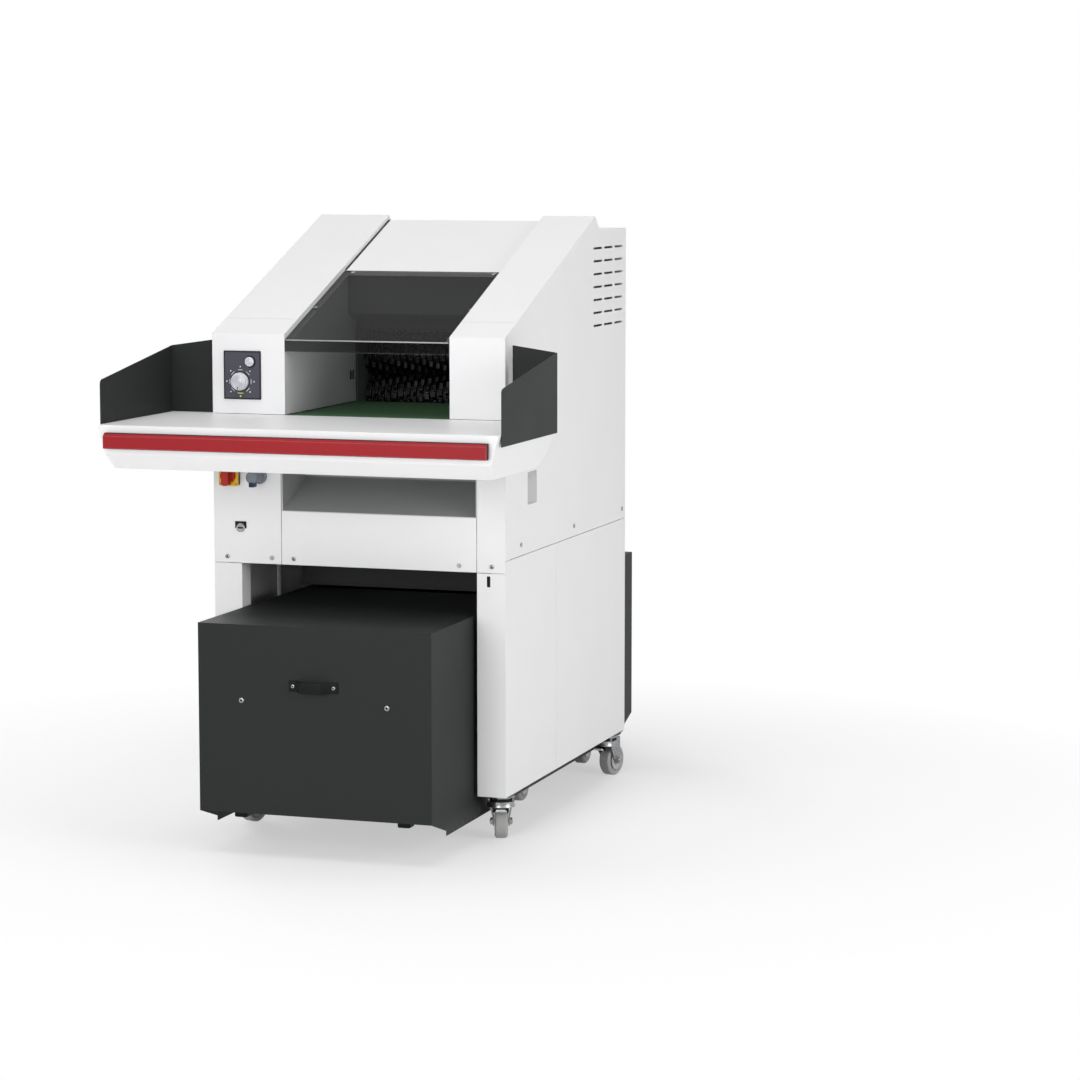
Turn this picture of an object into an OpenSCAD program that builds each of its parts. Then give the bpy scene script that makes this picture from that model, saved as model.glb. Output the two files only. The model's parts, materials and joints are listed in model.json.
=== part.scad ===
// Industrial paper shredder with a belt feed table and a long rolling collecting container.
// Millimetres. X runs to the right, Y to the back and Z up; the origin is on the floor
// under the middle of the overall box. The Y of each piece is counted from the casing's
// front face, which at_front() puts in its place.

/* [Casing] */
// Width of the casing over its side covers
body_w = 854; // [700:2:1000]
// Depth of the casing from its front face to its back
body_d = 1126; // [930:2:1320]
// Height of the underside of the casing above the floor
base_z = 138; // [134:1:150]
// Drop from the table top to the joint between the lower and the upper side covers
seam_drop = 380; // [370:1:390]
// Rise from the table top to the fold between the front face and the slope
fold_up = 222; // [210:1:230]
// Rise from the table top to the ridge at the top of the slope
ridge_up = 532; // [520:1:560]
// Distance of the ridge before the back
ridge_back = 312; // [300:1:330]
// Length of the fall from the ridge to the flat roof
ridge_fall = 45; // [35:1:60]
// Drop from the ridge to the flat roof
roof_drop = 40; // [30:1:45]
// Thickness of the casing sheets
sheet_t = 2; // [1.5:0.5:3]
// Width of a joint between two covers
seam_gap = 1.5; // [1:0.5:2.5]
// Width of the left side cover's slope
left_wing_w = 215; // [205:1:225]
// Width of the right side cover's slope
right_wing_w = 159; // [150:1:170]
// Width of a front column
column_w = 82; // [78:1:86]
// Depth of the folded column panel along the side
column_d = 445; // [420:1:470]
// Depth of the return fold behind a column
column_return = 60; // [40:1:80]
// Width of the flange along the front edge of a lower panel
flange_d = 12; // [8:1:16]
// Drop from the table top to the lower edge of the front panels
panel_drop = 414; // [405:1:424]
// Distance of the joint between front cover and slope behind the front face
cover_seam_y = 95; // [80:1:110]
// Side of the square frame tubes
tube = 40; // [36:1:44]
// Drop from the table top to the deck that carries the cutting unit
deck_drop = 128; // [123:1:138]
// Drop from the lower edge of the front panels to that of the rear panel
bay_drop = 92; // [80:1:100]

/* [Vents and side opening] */
// Number of vent rows
vent_rows = 7; // [4:1:8]
// Number of vent columns
vent_columns = 3; // [1:1:3]
// Distance between vent rows
vent_pitch = 37.5; // [30:0.5:40]
// Drop from the flat roof to the top vent row
vent_drop = 53; // [45:1:60]
// Length of one vent slot
vent_len = 85; // [70:1:90]
// Distance between vent columns
vent_step = 105; // [100:1:110]
// Distance of the last vent column before the back
vent_back = 31; // [25:1:40]
// Height of a vent slot
vent_h = 6; // [5:1:10]
// Length of the hand opening in the right side cover
hatch_d = 80; // [60:1:90]
// Height of the hand opening in the right side cover
hatch_h = 90; // [70:1:100]
// Distance of that opening behind the front face
hatch_y = 190; // [170:1:200]
// Drop from the deck to the lower edge of that opening
hatch_drop = 118; // [110:1:125]

/* [Infeed] */
// Depth of the hood below the side covers
hood_drop = 15; // [12:1:20]
// Distance from the hood's lower edge to the cutting shafts
screen_back = 209; // [205:1:225]
// Thickness of the safety screen
screen_t = 4; // [3:0.5:6]
// Height of the screen's folded lip
lip_h = 33; // [25:1:40]
// Width of the flange that carries the screen
flange_w = 18; // [14:1:22]
// Distance from the throat walls' rear edge to the cutting shafts
wall_back = 130; // [120:1:140]
// Distance from the baffle to the cutting shafts
baffle_back = 187; // [180:1:190]
// Distance from the lower edge of the baffle to the cutting shafts
baffle_clear = 73; // [73:1:85]
// Rise from the table top to the fold of the baffle
baffle_fold_up = 256; // [248:1:266]
// Rise from the table top to the lower edge of the baffle
baffle_low_up = 204; // [204:1:222]
// Length of the baffle's middle part
baffle_mid = 62; // [55:1:65]
// Fall of the baffle's middle part
baffle_fall = 24; // [20:1:28]

/* [Feed table] */
// Height of the table top above the floor
table_z = 1168; // [1000:1:1340]
// Width of the table at its top
table_w = 1122; // [1050:2:1300]
// Reach of the table in front of the casing
table_reach = 450; // [400:1:520]
// Height of the upright part of the fascia
fascia_h = 78; // [70:1:90]
// Height of the inclined lower part of the fascia
fascia_low_h = 40; // [30:1:50]
// Depth by which the lower fascia runs back
fascia_back = 40; // [30:1:50]
// Depth by which each table end runs inward at its foot
end_taper = 32; // [24:1:40]
// Thickness of the table sheet
table_t = 3; // [2:0.5:4]
// Height of a table end at its rear edge
apron_h = 48; // [40:1:56]
// Length of the curve along a table end's lower edge
apron_r = 100; // [80:1:120]
// Reach of the table ends beside the casing
end_back = 30; // [26:1:40]
// Height of a side guard above the table at its front
guard_front_h = 119; // [110:1:130]
// Height of a side guard above the table at its rear
guard_rear_h = 184; // [170:1:195]
// Rise of the rear plate of a guard towards the casing
guard_rise = 18; // [10:1:24]
// Depth by which a guard laps over the table end
guard_lap = 31; // [25:1:35]
// Distance of a guard's front edge behind the table's front edge
guard_inset = 20; // [10:1:30]
// Radius of a guard's front corner
guard_r = 14; // [8:1:20]
// Gap between a guard's rear plate and the casing
guard_gap = 10; // [6:1:14]
// Clearance of the table beside the casing
side_clear = 0.5; // [0.3:0.1:1]

/* [Stop bar] */
// Distance of the stop bar's ends from the table's ends
bar_inset = 26; // [20:1:40]
// Height of the stop bar
bar_h = 41; // [36:1:46]
// Depth of the stop bar
bar_d = 20; // [16:1:24]
// Gap between the stop bar and the fascia
bar_gap = 5; // [4.5:0.5:7]
// Diameter of the guide pins of the stop bar
bar_pin_d = 10; // [8:0.5:12]
// Distance of each guide pin from the bar's end
bar_pin_in = 135; // [100:1:160]
// Length of a guide pin behind the fascia
bar_pin_l = 12; // [8:1:16]
// Height of the bevel along the bar's upper edge
bar_bevel = 7; // [4:0.5:9]
// Height of the bar's middle below the middle of the fascia
bar_drop = 1.5; // [0:0.5:5]

/* [Controls] */
// Width of the control plate
plate_w = 109; // [104:1:114]
// Height of the control plate
plate_h = 133; // [128:1:138]
// Thickness of the control plate
plate_t = 4; // [3:0.5:5]
// Radius of the control plate's corners
plate_r = 8; // [4:1:12]
// Distance of the plate's middle from the casing's left side
plate_in = 90.5; // [86:0.5:96]
// Height of the plate's middle above the table
plate_up = 107.5; // [102:0.5:112]
// Diameter of the selector knob
knob_d = 49; // [44:1:52]
// Height of the selector knob
knob_h = 20; // [16:1:26]
// Distance of the knob to the left of the plate's middle
knob_left = 5.5; // [3:0.5:8]
// Distance of the knob below the plate's middle
knob_drop = 17.5; // [14:0.5:20]
// Diameter of the selector's spindle
spindle_d = 8; // [6:0.5:10]
// Diameter of the start button
button_d = 26; // [22:1:28]
// Distance of the button to the right of the plate's middle
button_right = 23.5; // [20:0.5:26]
// Distance of the button above the plate's middle
button_up = 37.5; // [34:0.5:40]
// Travel of the start button
button_travel = 3; // [2:0.5:4]
// Clear length of a knob's or button's stem behind the front cover
stem_l = 6; // [4:1:10]
// Side of the main switch's square plate
switch_s = 58; // [54:1:60]
// Depth of the black base behind the switch plate
switch_base_d = 12; // [8:1:16]
// Thickness of the yellow switch plate
switch_t = 4; // [3:0.5:6]
// Length of the switch handle
switch_grip_l = 54; // [46:1:58]
// Width of the switch handle
switch_grip_w = 20; // [16:1:24]
// Depth of the switch handle
switch_grip_d = 28; // [20:1:34]
// Diameter of the switch shaft
switch_shaft_d = 12; // [10:0.5:14]
// Distance of the main switch from the casing's left side
switch_in = 51; // [48:1:54]
// Drop from the table top to the middle of the main switch
switch_drop = 170; // [162:1:178]
// Distance of the power inlet from the casing's left side
inlet_in = 137; // [130:1:144]
// Diameter of the power inlet
inlet_d = 36; // [30:1:40]
// Length of the power inlet
inlet_l = 58; // [40:1:70]
// Distance of the panel latch from the casing's left side
latch_in = 80; // [75:1:86]
// Drop from the table top to the panel latch
latch_drop = 316; // [310:1:322]
// Diameter of the latch's head
latch_d = 24; // [20:1:28]
// Diameter of the latch's stem
latch_stem_d = 14; // [12:0.5:16]
// Length of the latch's tongue
latch_l = 34; // [30:1:36]
// Thickness of the keeper behind which the latch's tongue turns
keeper_t = 3; // [2:0.5:4]
// Width of the service panel
service_w = 202; // [195:1:210]
// Drop from the table top to the chute panel's fold
chute_drop = 266; // [254:1:278]
// Depth of the recess above the chute panel
chute_d = 174; // [160:1:178]
// Rise of the recess floor over its depth
chute_rise = 81; // [70:1:90]
// Gap between the recess and the belt above it
chute_gap = 8; // [5:1:12]

/* [Conveyor] */
// Diameter of a belt roller
roller_d = 60; // [50:1:64]
// Thickness of the belt
belt_t = 3; // [2:0.5:4]
// Distance of the front roller behind the front face
roller_y = 40; // [38:1:44]
// Distance from the rear roller to the cutting shafts
belt_back = 125; // [122:1:140]
// Gap between the belt and the conveyor frame
belt_gap = 3; // [2:0.5:5]
// Thickness of the conveyor frame's sheet
rail_t = 3; // [2:0.5:3]
// Depth of the conveyor frame's upper edge below the table top
rail_drop = 4; // [3:0.5:6]
// Diameter of a roller journal
roller_pin_d = 20; // [16:1:24]
// Gap on the radius between a roller and the belt
belt_slack = 0.3; // [0.2:0.1:0.5]

/* [Cutting unit] */
// Distance of the cutting shafts before the back
shaft_back = 461; // [455:1:466]
// Rise from the table top to the lower cutting shaft
shaft_up = 12; // [8:1:20]
// Distance between the two cutting shafts
shaft_gap = 120; // [118:1:122]
// Diameter of a cutting disc over its teeth
disc_d = 130; // [128:1:132]
// Thickness of a cutting disc
disc_t = 9; // [8:0.5:9.5]
// Distance between two discs of one shaft
disc_pitch = 20; // [20:1:22]
// Number of teeth of a cutting disc
disc_teeth = 12; // [9:1:16]
// Depth of a cutting tooth
tooth_h = 8; // [6:0.5:10]
// Turn from one disc to the next
disc_turn = 6; // [0:1:15]
// Diameter of the shaft between its discs
core_d = 98; // [90:1:100]
// Diameter of the shaft journals
journal_d = 50; // [46:1:54]
// Diameter of the shaft end that carries the gear
stub_d = 40; // [36:1:44]
// Thickness of a cutting-unit side plate
bearer_t = 16; // [12:1:20]
// Gap between the discs and a side plate
bearer_gap = 4; // [3:0.5:6]
// Height of a side plate above the upper shaft
bearer_up = 100; // [90:1:110]
// Bevel of a side plate's upper corners
bearer_bevel = 50; // [40:1:60]
// Distance of the front deck bar before the cutting shafts
deck_front = 109; // [105:1:115]
// Distance of the rear deck bar behind the cutting shafts
deck_rear = 85; // [80:1:90]
// Width of a timing gear
gear_w = 20; // [16:1:24]
// Number of teeth of a timing gear
gear_teeth = 20; // [16:1:24]
// Gap beside a timing gear
gear_gap = 8; // [6:1:10]
// Length of the shaft end inside the gearbox
stub_l = 70; // [60:1:80]
// Half of the gearbox's height
gearbox_h = 85; // [80:1:90]
// Half of the gearbox's depth
gearbox_d = 72; // [70:1:76]
// Thickness of the gearbox's foot
foot_t = 12; // [10:1:16]
// Diameter of the drive motor
motor_d = 136; // [120:1:140]
// Length of the drive motor
motor_l = 260; // [240:1:280]
// Length of the motor's fan cover
fan_l = 70; // [60:1:80]
// Number of cooling ribs round the motor
rib_count = 24; // [12:1:36]

/* [Casters] */
// Diameter of a caster wheel
wheel_d = 94; // [90:1:98]
// Width of a caster wheel
wheel_w = 36; // [32:1:38]
// Diameter of a wheel's axle
axle_d = 12; // [10:0.5:14]
// Distance of a caster wheel behind its swivel axis
trail = 40; // [36:1:42]
// Distance of a caster's swivel axis from the casing's side
caster_in = 44; // [42:0.5:46]
// Distance of the front swivel axes behind the front face
caster_front_y = 88; // [80:1:100]
// Distance of the rear swivel axes before the back
caster_rear_y = 58; // [56:1:70]
// Turn of the front casters, inward
front_turn = 18; // [0:1:20]
// Turn of the rear casters, outward
rear_turn = 13; // [0:1:30]
// Thickness of a caster's top plate
caster_plate_t = 5; // [4:0.5:7]
// Diameter of a caster's kingpin
kingpin_d = 18; // [14:1:20]
// Diameter of the lower ring of a caster's swivel head
crown_d = 74; // [68:1:76]
// Height of a caster's swivel head
head_t = 10; // [8:1:12]
// Thickness of a fork's sheet
fork_t = 3.5; // [3:0.5:4]
// Gap beside a wheel
wheel_gap = 2; // [1.5:0.5:3]

/* [Container] */
// Gap between the container and a column
box_clear = 12; // [10:1:20]
// Reach of the container in front of the casing
box_front = 330; // [300:1:360]
// Reach of the container behind the casing
box_rear = 394; // [360:1:420]
// Drop from the front panels' lower edge to the container's top
box_drop = 121; // [112:1:130]
// Height of the container's floor above the ground
box_floor_z = 121; // [118:1:124]
// Height of the lower edge of the side skirts
skirt_z = 71; // [66:1:76]
// Length of the inclined toe of a skirt
toe_d = 115; // [100:1:130]
// Height of the step at the end of the toe
toe_step = 13; // [8:1:18]
// Thickness of the container's sheets
box_t = 2; // [1.5:0.5:3]
// Distance of the fill opening's front edge before the cutting shafts
fill_front = 235; // [200:1:250]
// Distance of the fill opening's rear edge behind the cutting shafts
fill_rear = 95; // [80:1:110]
// Distance of the container's wheels from its sides
box_wheel_in = 83; // [75:1:95]
// Distance of the middle wheels behind the front face
box_wheel_mid = 640; // [620:1:660]
// Distance of the rear wheels before the container's back
box_wheel_back = 260; // [220:1:290]
// Length of the strap handle
handle_w = 140; // [125:1:150]
// Height of the middle of the strap handle
handle_z = 474; // [465:1:485]
// Width of the strap
strap_w = 30; // [26:1:34]
// Thickness of the strap
strap_t = 4; // [3:0.5:5]
// Length of a strap end on the container
strap_pad = 24; // [20:1:28]
// Length of the strap's rise
strap_ramp = 16; // [10:1:20]
// Gap behind the strap for the fingers
finger_gap = 24; // [20:1:30]
// Distance of each container bolt from the middle
bolt_x = 208; // [200:1:215]
// Height of the container bolts
bolt_z = 428; // [420:1:436]
// Diameter of a container bolt's head
bolt_head_d = 16; // [13:1:18]
// Diameter of a container bolt
bolt_d = 8; // [6:1:10]

/* [Fits] */
// Gap on the radius of a running fit
run = 0.05; // [0.03:0.01:0.08]
// Gap between two pieces that pass each other
pass = 0.5; // [0.3:0.1:0.8]
// Gap under a sheet that rests on another
rest_gap = 0.3; // [0.2:0.1:0.5]
// Diameter of a cover screw's head
screw_head_d = 13; // [10:1:14]
// Height of a cover screw's head
screw_head_h = 2.5; // [2:0.5:4]
// Diameter of a cover screw's shank
screw_d = 5; // [4:0.5:6]
// Distance of a cover screw from the edges of its panel
screw_in = 39; // [35:1:42]
// Rise of the lower cover screws above their panel's edge
screw_up = 17; // [14:1:20]

/* [Hidden] */
$fn = 48;
half = body_w / 2;
inner = half - sheet_t;
seam_z = table_z - seam_drop;
fold_z = table_z + fold_up;
ridge_z = table_z + ridge_up;
roof_z = ridge_z - roof_drop;
panel_z = table_z - panel_drop;
deck_z = table_z - deck_drop;
bay_z = panel_z - bay_drop;
ridge_y = body_d - ridge_back;
roof_y = ridge_y + ridge_fall;
wing_slope = (ridge_z - fold_z) / ridge_y;
slope_angle = atan(wing_slope);
slope_k = 1 / cos(slope_angle);
vent_y = body_d - vent_back - vent_len - (vent_columns - 1) * vent_step;
vent_top_z = roof_z - vent_drop;
hatch_z = deck_z - hatch_drop;
throat_l = left_wing_w - half;
throat_r = half - right_wing_w;
throat_w = throat_r - throat_l;
shaft_y = body_d - shaft_back;
screen_y = shaft_y - screen_back;
wall_d = shaft_y - wall_back;
baffle_y = shaft_y - baffle_back;
box_back = body_d + box_rear;
front_y = (table_reach + bar_gap + bar_d - box_back) / 2;
column_x = half - column_w;
service_x = half - service_w;
table_half = table_w / 2;
bar_half = table_half - bar_inset;
bar_pin_x = bar_half - bar_pin_in;
bar_z = table_z - fascia_h / 2 - bar_drop;
plate_x = plate_in - half;
plate_z = table_z + plate_up;
knob_x = plate_x - knob_left;
knob_z = plate_z - knob_drop;
button_x = plate_x + button_right;
button_z = plate_z + button_up;
button_guide_d = button_d - 6;
switch_x = switch_in - half;
switch_z = table_z - switch_drop;
switch_d = switch_base_d + switch_t;
inlet_x = inlet_in - half;
latch_x = latch_in - half;
latch_z = table_z - latch_drop;
chute_fold_z = table_z - chute_drop;
rear_of_post = body_d - sheet_t - tube;
deck_rows = [chute_d + 14, shaft_y - deck_front, shaft_y + deck_rear];
belt_len = shaft_y - belt_back - roller_y;
belt_x0 = throat_l + rail_t + belt_gap;
belt_x1 = throat_r - rail_t - belt_gap;
roller_z = table_z - belt_t - roller_d / 2 - pass;
belt_r = roller_d / 2 + belt_slack;
shaft_z = table_z + shaft_up;
upper_z = shaft_z + shaft_gap;
bearer_x0 = throat_l - bearer_gap;
bearer_x1 = throat_r + bearer_gap;
disc_count = floor(throat_w / disc_pitch);
gear_x = bearer_x0 - bearer_t - gear_gap;
gear_m = shaft_gap / gear_teeth;
gearbox_x1 = gear_x - gear_w - gear_gap;
gearbox_x0 = gearbox_x1 - 2 * stub_l;
gearbox_y0 = shaft_y - gearbox_d;
gearbox_y1 = shaft_y + gearbox_d;
stub_end = gearbox_x1 - stub_l;
wheel_r = wheel_d / 2;
head_z = base_z - caster_plate_t - rest_gap;
crown_z = head_z - head_t;
caster_x = half - caster_in;
caster_back = body_d - caster_rear_y;
casters = [[1, caster_front_y, -front_turn], [-1, caster_front_y, -front_turn],
           [1, caster_back, rear_turn], [-1, caster_back, rear_turn]];
box_half = column_x - box_clear;
box_top_z = panel_z - box_drop;
box_wheel_x = box_half - box_wheel_in;
box_wheel_rear = box_back - box_wheel_back;
box_wheels = [[1, box_wheel_mid], [-1, box_wheel_mid], [1, box_wheel_rear], [-1, box_wheel_rear]];
screw_z = panel_z + screw_up;
front_screws = [screw_in - half, -service_x - 0.75 * screw_in, -service_x + 0.9 * screw_in,
                column_x - 1.3 * screw_in, half - screw_in];
side_screws = [131, 0.5435 * body_d, body_d - 34];
side_screw_z = seam_z + 30;
screen_screws = [[throat_l + 30, screen_y - 14], [throat_r - 25, screen_y - 14],
                 [throat_l + flange_w / 2, 0.45 * screen_y], [throat_r - flange_w / 2, 0.45 * screen_y]];
casing_white = [0.90, 0.905, 0.91];
wall_grey = [0.66, 0.67, 0.68];
anthracite = [0.20, 0.21, 0.21];
signal_red = [0.66, 0.11, 0.12];
drive_blue = [0.28, 0.34, 0.40];
black = [0.09, 0.09, 0.09];
zinc = [0.72, 0.73, 0.74];
steel = [0.55, 0.56, 0.58];
tread_grey = [0.62, 0.63, 0.63];

// Heights of the slope of the side covers and of the hood between them
function wing_z(y) = fold_z + wing_slope * y;
function hood_z(y) = wing_z(y) - hood_drop;

// Outline of a folded sheet: a path, and the same path moved by the sheet's thickness to its left
function unit(v) = v / norm(v);
function left_of(a, b) = let (d = unit(b - a)) [-d[1], d[0]];
function moved(p, i, t) =
    let (a = left_of(p[max(i - 1, 0)], p[max(i, 1)]),
         b = left_of(p[min(i, len(p) - 2)], p[min(i + 1, len(p) - 1)]))
    p[i] + (a + b) * t / (1 + a * b);
function folded(p, t) = concat(p, [for (i = [len(p) - 1:-1:0]) moved(p, i, t)]);

// Placing of flat outlines: a (Y,Z) outline along X, an (X,Z) outline along Y, an (X,Y) outline along Z
module at_front() { translate([0, front_y, 0]) children(); }
module along_x(x0, x1) { translate([x0, 0, 0]) rotate([90, 0, 90]) linear_extrude(x1 - x0) children(); }
module along_y(y0, y1) { translate([0, y1, 0]) rotate([90, 0, 0]) linear_extrude(y1 - y0) children(); }
module along_z(z0, z1) { translate([0, 0, z0]) linear_extrude(z1 - z0) children(); }
module on_side(side) { mirror([side < 0 ? 1 : 0, 0, 0]) children(); }
module block(low, high) { translate(low) cube(high - low); }
module rod_x(x0, x1, y, z, d) { along_x(x0, x1) translate([y, z]) circle(d = d); }
module rod_y(x, y0, y1, z, d) { along_y(y0, y1) translate([x, z]) circle(d = d); }
module rod_z(x, y, z0, z1, d) { along_z(z0, z1) translate([x, y]) circle(d = d); }
module rounded(w, h, r) {
    square([w - 2 * r, h], center = true);
    square([w, h - 2 * r], center = true);
    for (x = [-1, 1], z = [-1, 1]) translate([x * (w / 2 - r), z * (h / 2 - r)]) circle(r);
}

// Distance from the casing's middle to the throat on one side
function throat_edge(side) = side > 0 ? throat_r : -throat_l;

// Holes for the cover screws on the front face and on the sides
module front_screw_holes() {
    for (x = front_screws) rod_y(x, -1, sheet_t + 1, screw_z, screw_d + 2 * run);
}
module side_screw_holes() {
    for (y = side_screws) rod_x(inner - 1, half + 1, y, side_screw_z, screw_d + 2 * run);
}
// A place on the slope, drawn with Z square to the hood
module on_hood(x, y) { translate([x, y, hood_z(y)]) rotate([slope_angle, 0, 0]) children(); }
module screen_screw_holes() {
    for (p = screen_screws) on_hood(p[0], p[1])
        translate([0, 0, -20]) cylinder(d = screw_d + 2 * run, h = 30);
}

module base_frame() {
    color([0.45, 0.46, 0.47]) at_front() {
        for (side = [-1, 1]) on_side(side) {
            block([inner - tube, sheet_t, base_z], [inner, body_d - sheet_t, base_z + tube]);
            block([inner - tube, sheet_t, base_z], [inner, sheet_t + tube, table_z - 12]);
            block([inner - tube, rear_of_post, base_z], [inner, body_d - sheet_t, roof_z - sheet_t]);
            block([inner - tube, sheet_t, deck_z - tube], [inner, body_d - sheet_t, deck_z]);
        }
        for (y = deck_rows) block([-inner, y, deck_z - tube], [inner, y + tube, deck_z]);
        block([-inner, sheet_t, seam_z + 4], [inner, sheet_t + tube, seam_z + 4 + tube]);
        block([-inner, rear_of_post, bay_z], [inner, body_d - sheet_t, bay_z + tube]);
        block([-inner, rear_of_post, roof_z - sheet_t - tube],
              [inner, body_d - sheet_t, roof_z - sheet_t]);
        block([tube - inner - 1, sheet_t, latch_z - latch_d / 2],
              [latch_x - 0.75 * latch_d, sheet_t + keeper_t, latch_z + latch_d / 2]);
    }
}

// Front column and the front part of the lower side, folded from one sheet
module column_panel(side) {
    path = [[column_x, column_return], [column_x, 0], [half, 0], [half, column_d]];
    color(casing_white) at_front() on_side(side) difference() {
        along_z(base_z, seam_z - seam_gap) polygon(folded(path, sheet_t));
        block([column_x - 1, -1, panel_z - seam_gap], [inner, column_return + 1, seam_z]);
        if (side > 0) {
            along_y(-1, sheet_t + 1) translate([column_x + 33, panel_z - 24]) rounded(10, 30, 2);
        }
    }
}
module left_column_panel() { column_panel(-1); }
module right_column_panel() { column_panel(1); }

module lower_panel(side) {
    y = column_d + seam_gap;
    path = [[half - flange_d, y], [half, y], [half, body_d]];
    color(casing_white) at_front() on_side(side) difference() {
        along_z(base_z, seam_z - seam_gap) polygon(folded(path, sheet_t));
        block([half - flange_d - 1, y - 1, base_z - 1], [inner, y + sheet_t + 1, base_z + tube + pass]);
    }
}
module left_lower_panel() { lower_panel(-1); }
module right_lower_panel() { lower_panel(1); }

// Side wall, slope and roof strip of one side, folded from one sheet
module side_cover(side) {
    edge = throat_edge(side);
    start = cover_seam_y + seam_gap;
    wall = [[0, seam_z], [body_d, seam_z], [body_d, roof_z], [roof_y, roof_z], [ridge_y, ridge_z],
            [0, fold_z]];
    top = [[body_d, roof_z], [roof_y, roof_z], [ridge_y, ridge_z], [start, wing_z(start)]];
    drop = hood_drop + screen_t * slope_k;
    web = [[start, wing_z(start)], [start, wing_z(start) - drop], [ridge_y, ridge_z - drop],
           [roof_y, roof_z - sheet_t], [body_d, roof_z - sheet_t], [body_d, roof_z], [roof_y, roof_z],
           [ridge_y, ridge_z]];
    color(casing_white) at_front() on_side(side) difference() {
        union() {
            along_x(inner, half) polygon(wall);
            along_x(edge, half) polygon(folded(top, sheet_t));
            along_x(edge, edge + sheet_t) polygon(web);
        }
        side_screw_holes();
        for (row = [0:vent_rows - 1], column = [0:vent_columns - 1])
            along_x(inner - 1, half + 1)
                translate([vent_y + column * vent_step + vent_len / 2, vent_top_z - row * vent_pitch])
                    rounded(vent_len, vent_h, 0.49 * vent_h);
        if (side > 0) {
            block([inner - 1, hatch_y, hatch_z], [half + 1, hatch_y + hatch_d, hatch_z + hatch_h]);
        }
    }
}
module left_side_cover() { side_cover(-1); }
module right_side_cover() { side_cover(1); }

// Upright front above the table, wrapped over the fold
module front_cover(side) {
    edge = throat_edge(side);
    path = [[cover_seam_y, wing_z(cover_seam_y)], [0, fold_z], [0, table_z + 1]];
    drop = hood_drop + screen_t * slope_k;
    web = [[sheet_t, fold_z], [cover_seam_y, wing_z(cover_seam_y)],
           [cover_seam_y, wing_z(cover_seam_y) - drop], [sheet_t, wing_z(sheet_t) - drop]];
    color(casing_white) at_front() difference() {
        on_side(side) {
            along_x(edge, inner) polygon(folded(path, sheet_t));
            along_x(edge, edge + sheet_t) polygon(web);
        }
        if (side < 0) {
            rod_y(knob_x, -1, sheet_t + 1, knob_z, spindle_d + 8);
            rod_y(button_x, -1, sheet_t + 1, button_z, button_guide_d + 8);
        }
    }
}
module left_front_cover() { front_cover(-1); }
module right_front_cover() { front_cover(1); }

// Sloping hood and roof between the side covers, with a lip that carries the screen's upper edge
module centre_hood() {
    path = [[body_d, roof_z], [roof_y, roof_z], [ridge_y, hood_z(ridge_y)], [screen_y, hood_z(screen_y)]];
    lip_low = (screen_t + sheet_t) * slope_k + rest_gap;
    lip_top = screen_t * slope_k + rest_gap;
    y0 = screen_y - flange_w;
    y1 = screen_y + 1;
    y2 = screen_y + 0.75 * flange_w;
    lip = [[y0, hood_z(y0) - lip_top], [y1, hood_z(y1) - lip_top], [y1, hood_z(y1) - 1],
           [y2, hood_z(y2) - 1], [y2, hood_z(y2) - lip_low], [y0, hood_z(y0) - lip_low]];
    color(casing_white) at_front() difference() {
        union() {
            along_x(throat_l, throat_r) polygon(folded(path, sheet_t));
            along_x(throat_l + flange_w + 2, throat_r - flange_w - 2) polygon(lip);
        }
        screen_screw_holes();
    }
}

module rear_panel() {
    color(casing_white) at_front()
        block([-inner, body_d - sheet_t, bay_z], [inner, body_d, roof_z - sheet_t]);
}

module service_panel() {
    color(casing_white) at_front() difference() {
        block([-inner, 0, panel_z], [-service_x - seam_gap, sheet_t, table_z]);
        front_screw_holes();
        rod_y(switch_x, -1, sheet_t + 1, switch_z, switch_shaft_d + 2 * run);
        rod_y(inlet_x, -1, sheet_t + 1, switch_z, 0.6 * inlet_d + 2 * run);
        rod_y(latch_x, -1, sheet_t + 1, latch_z, latch_stem_d + 2 * run);
    }
}

// Lower front panel that folds back into the recess under the table, with its two cheeks
module chute_panel() {
    back_top = table_z - roller_d - 2 * belt_t - chute_gap;
    path = [[0, panel_z], [0, chute_fold_z], [chute_d, chute_fold_z + chute_rise], [chute_d, back_top]];
    cheek = [[sheet_t, chute_fold_z], [chute_d, chute_fold_z + chute_rise], [chute_d, back_top],
             [sheet_t, back_top]];
    color(casing_white) at_front() difference() {
        union() {
            along_x(-service_x, column_x - seam_gap) polygon(folded(path, -sheet_t));
            along_x(-service_x, -service_x + sheet_t) polygon(cheek);
            along_x(column_x - seam_gap - sheet_t, column_x - seam_gap) polygon(cheek);
        }
        front_screw_holes();
    }
}

module right_front_panel() {
    color(casing_white) at_front() difference() {
        block([column_x, 0, panel_z], [inner, sheet_t, table_z]);
        front_screw_holes();
    }
}

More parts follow.
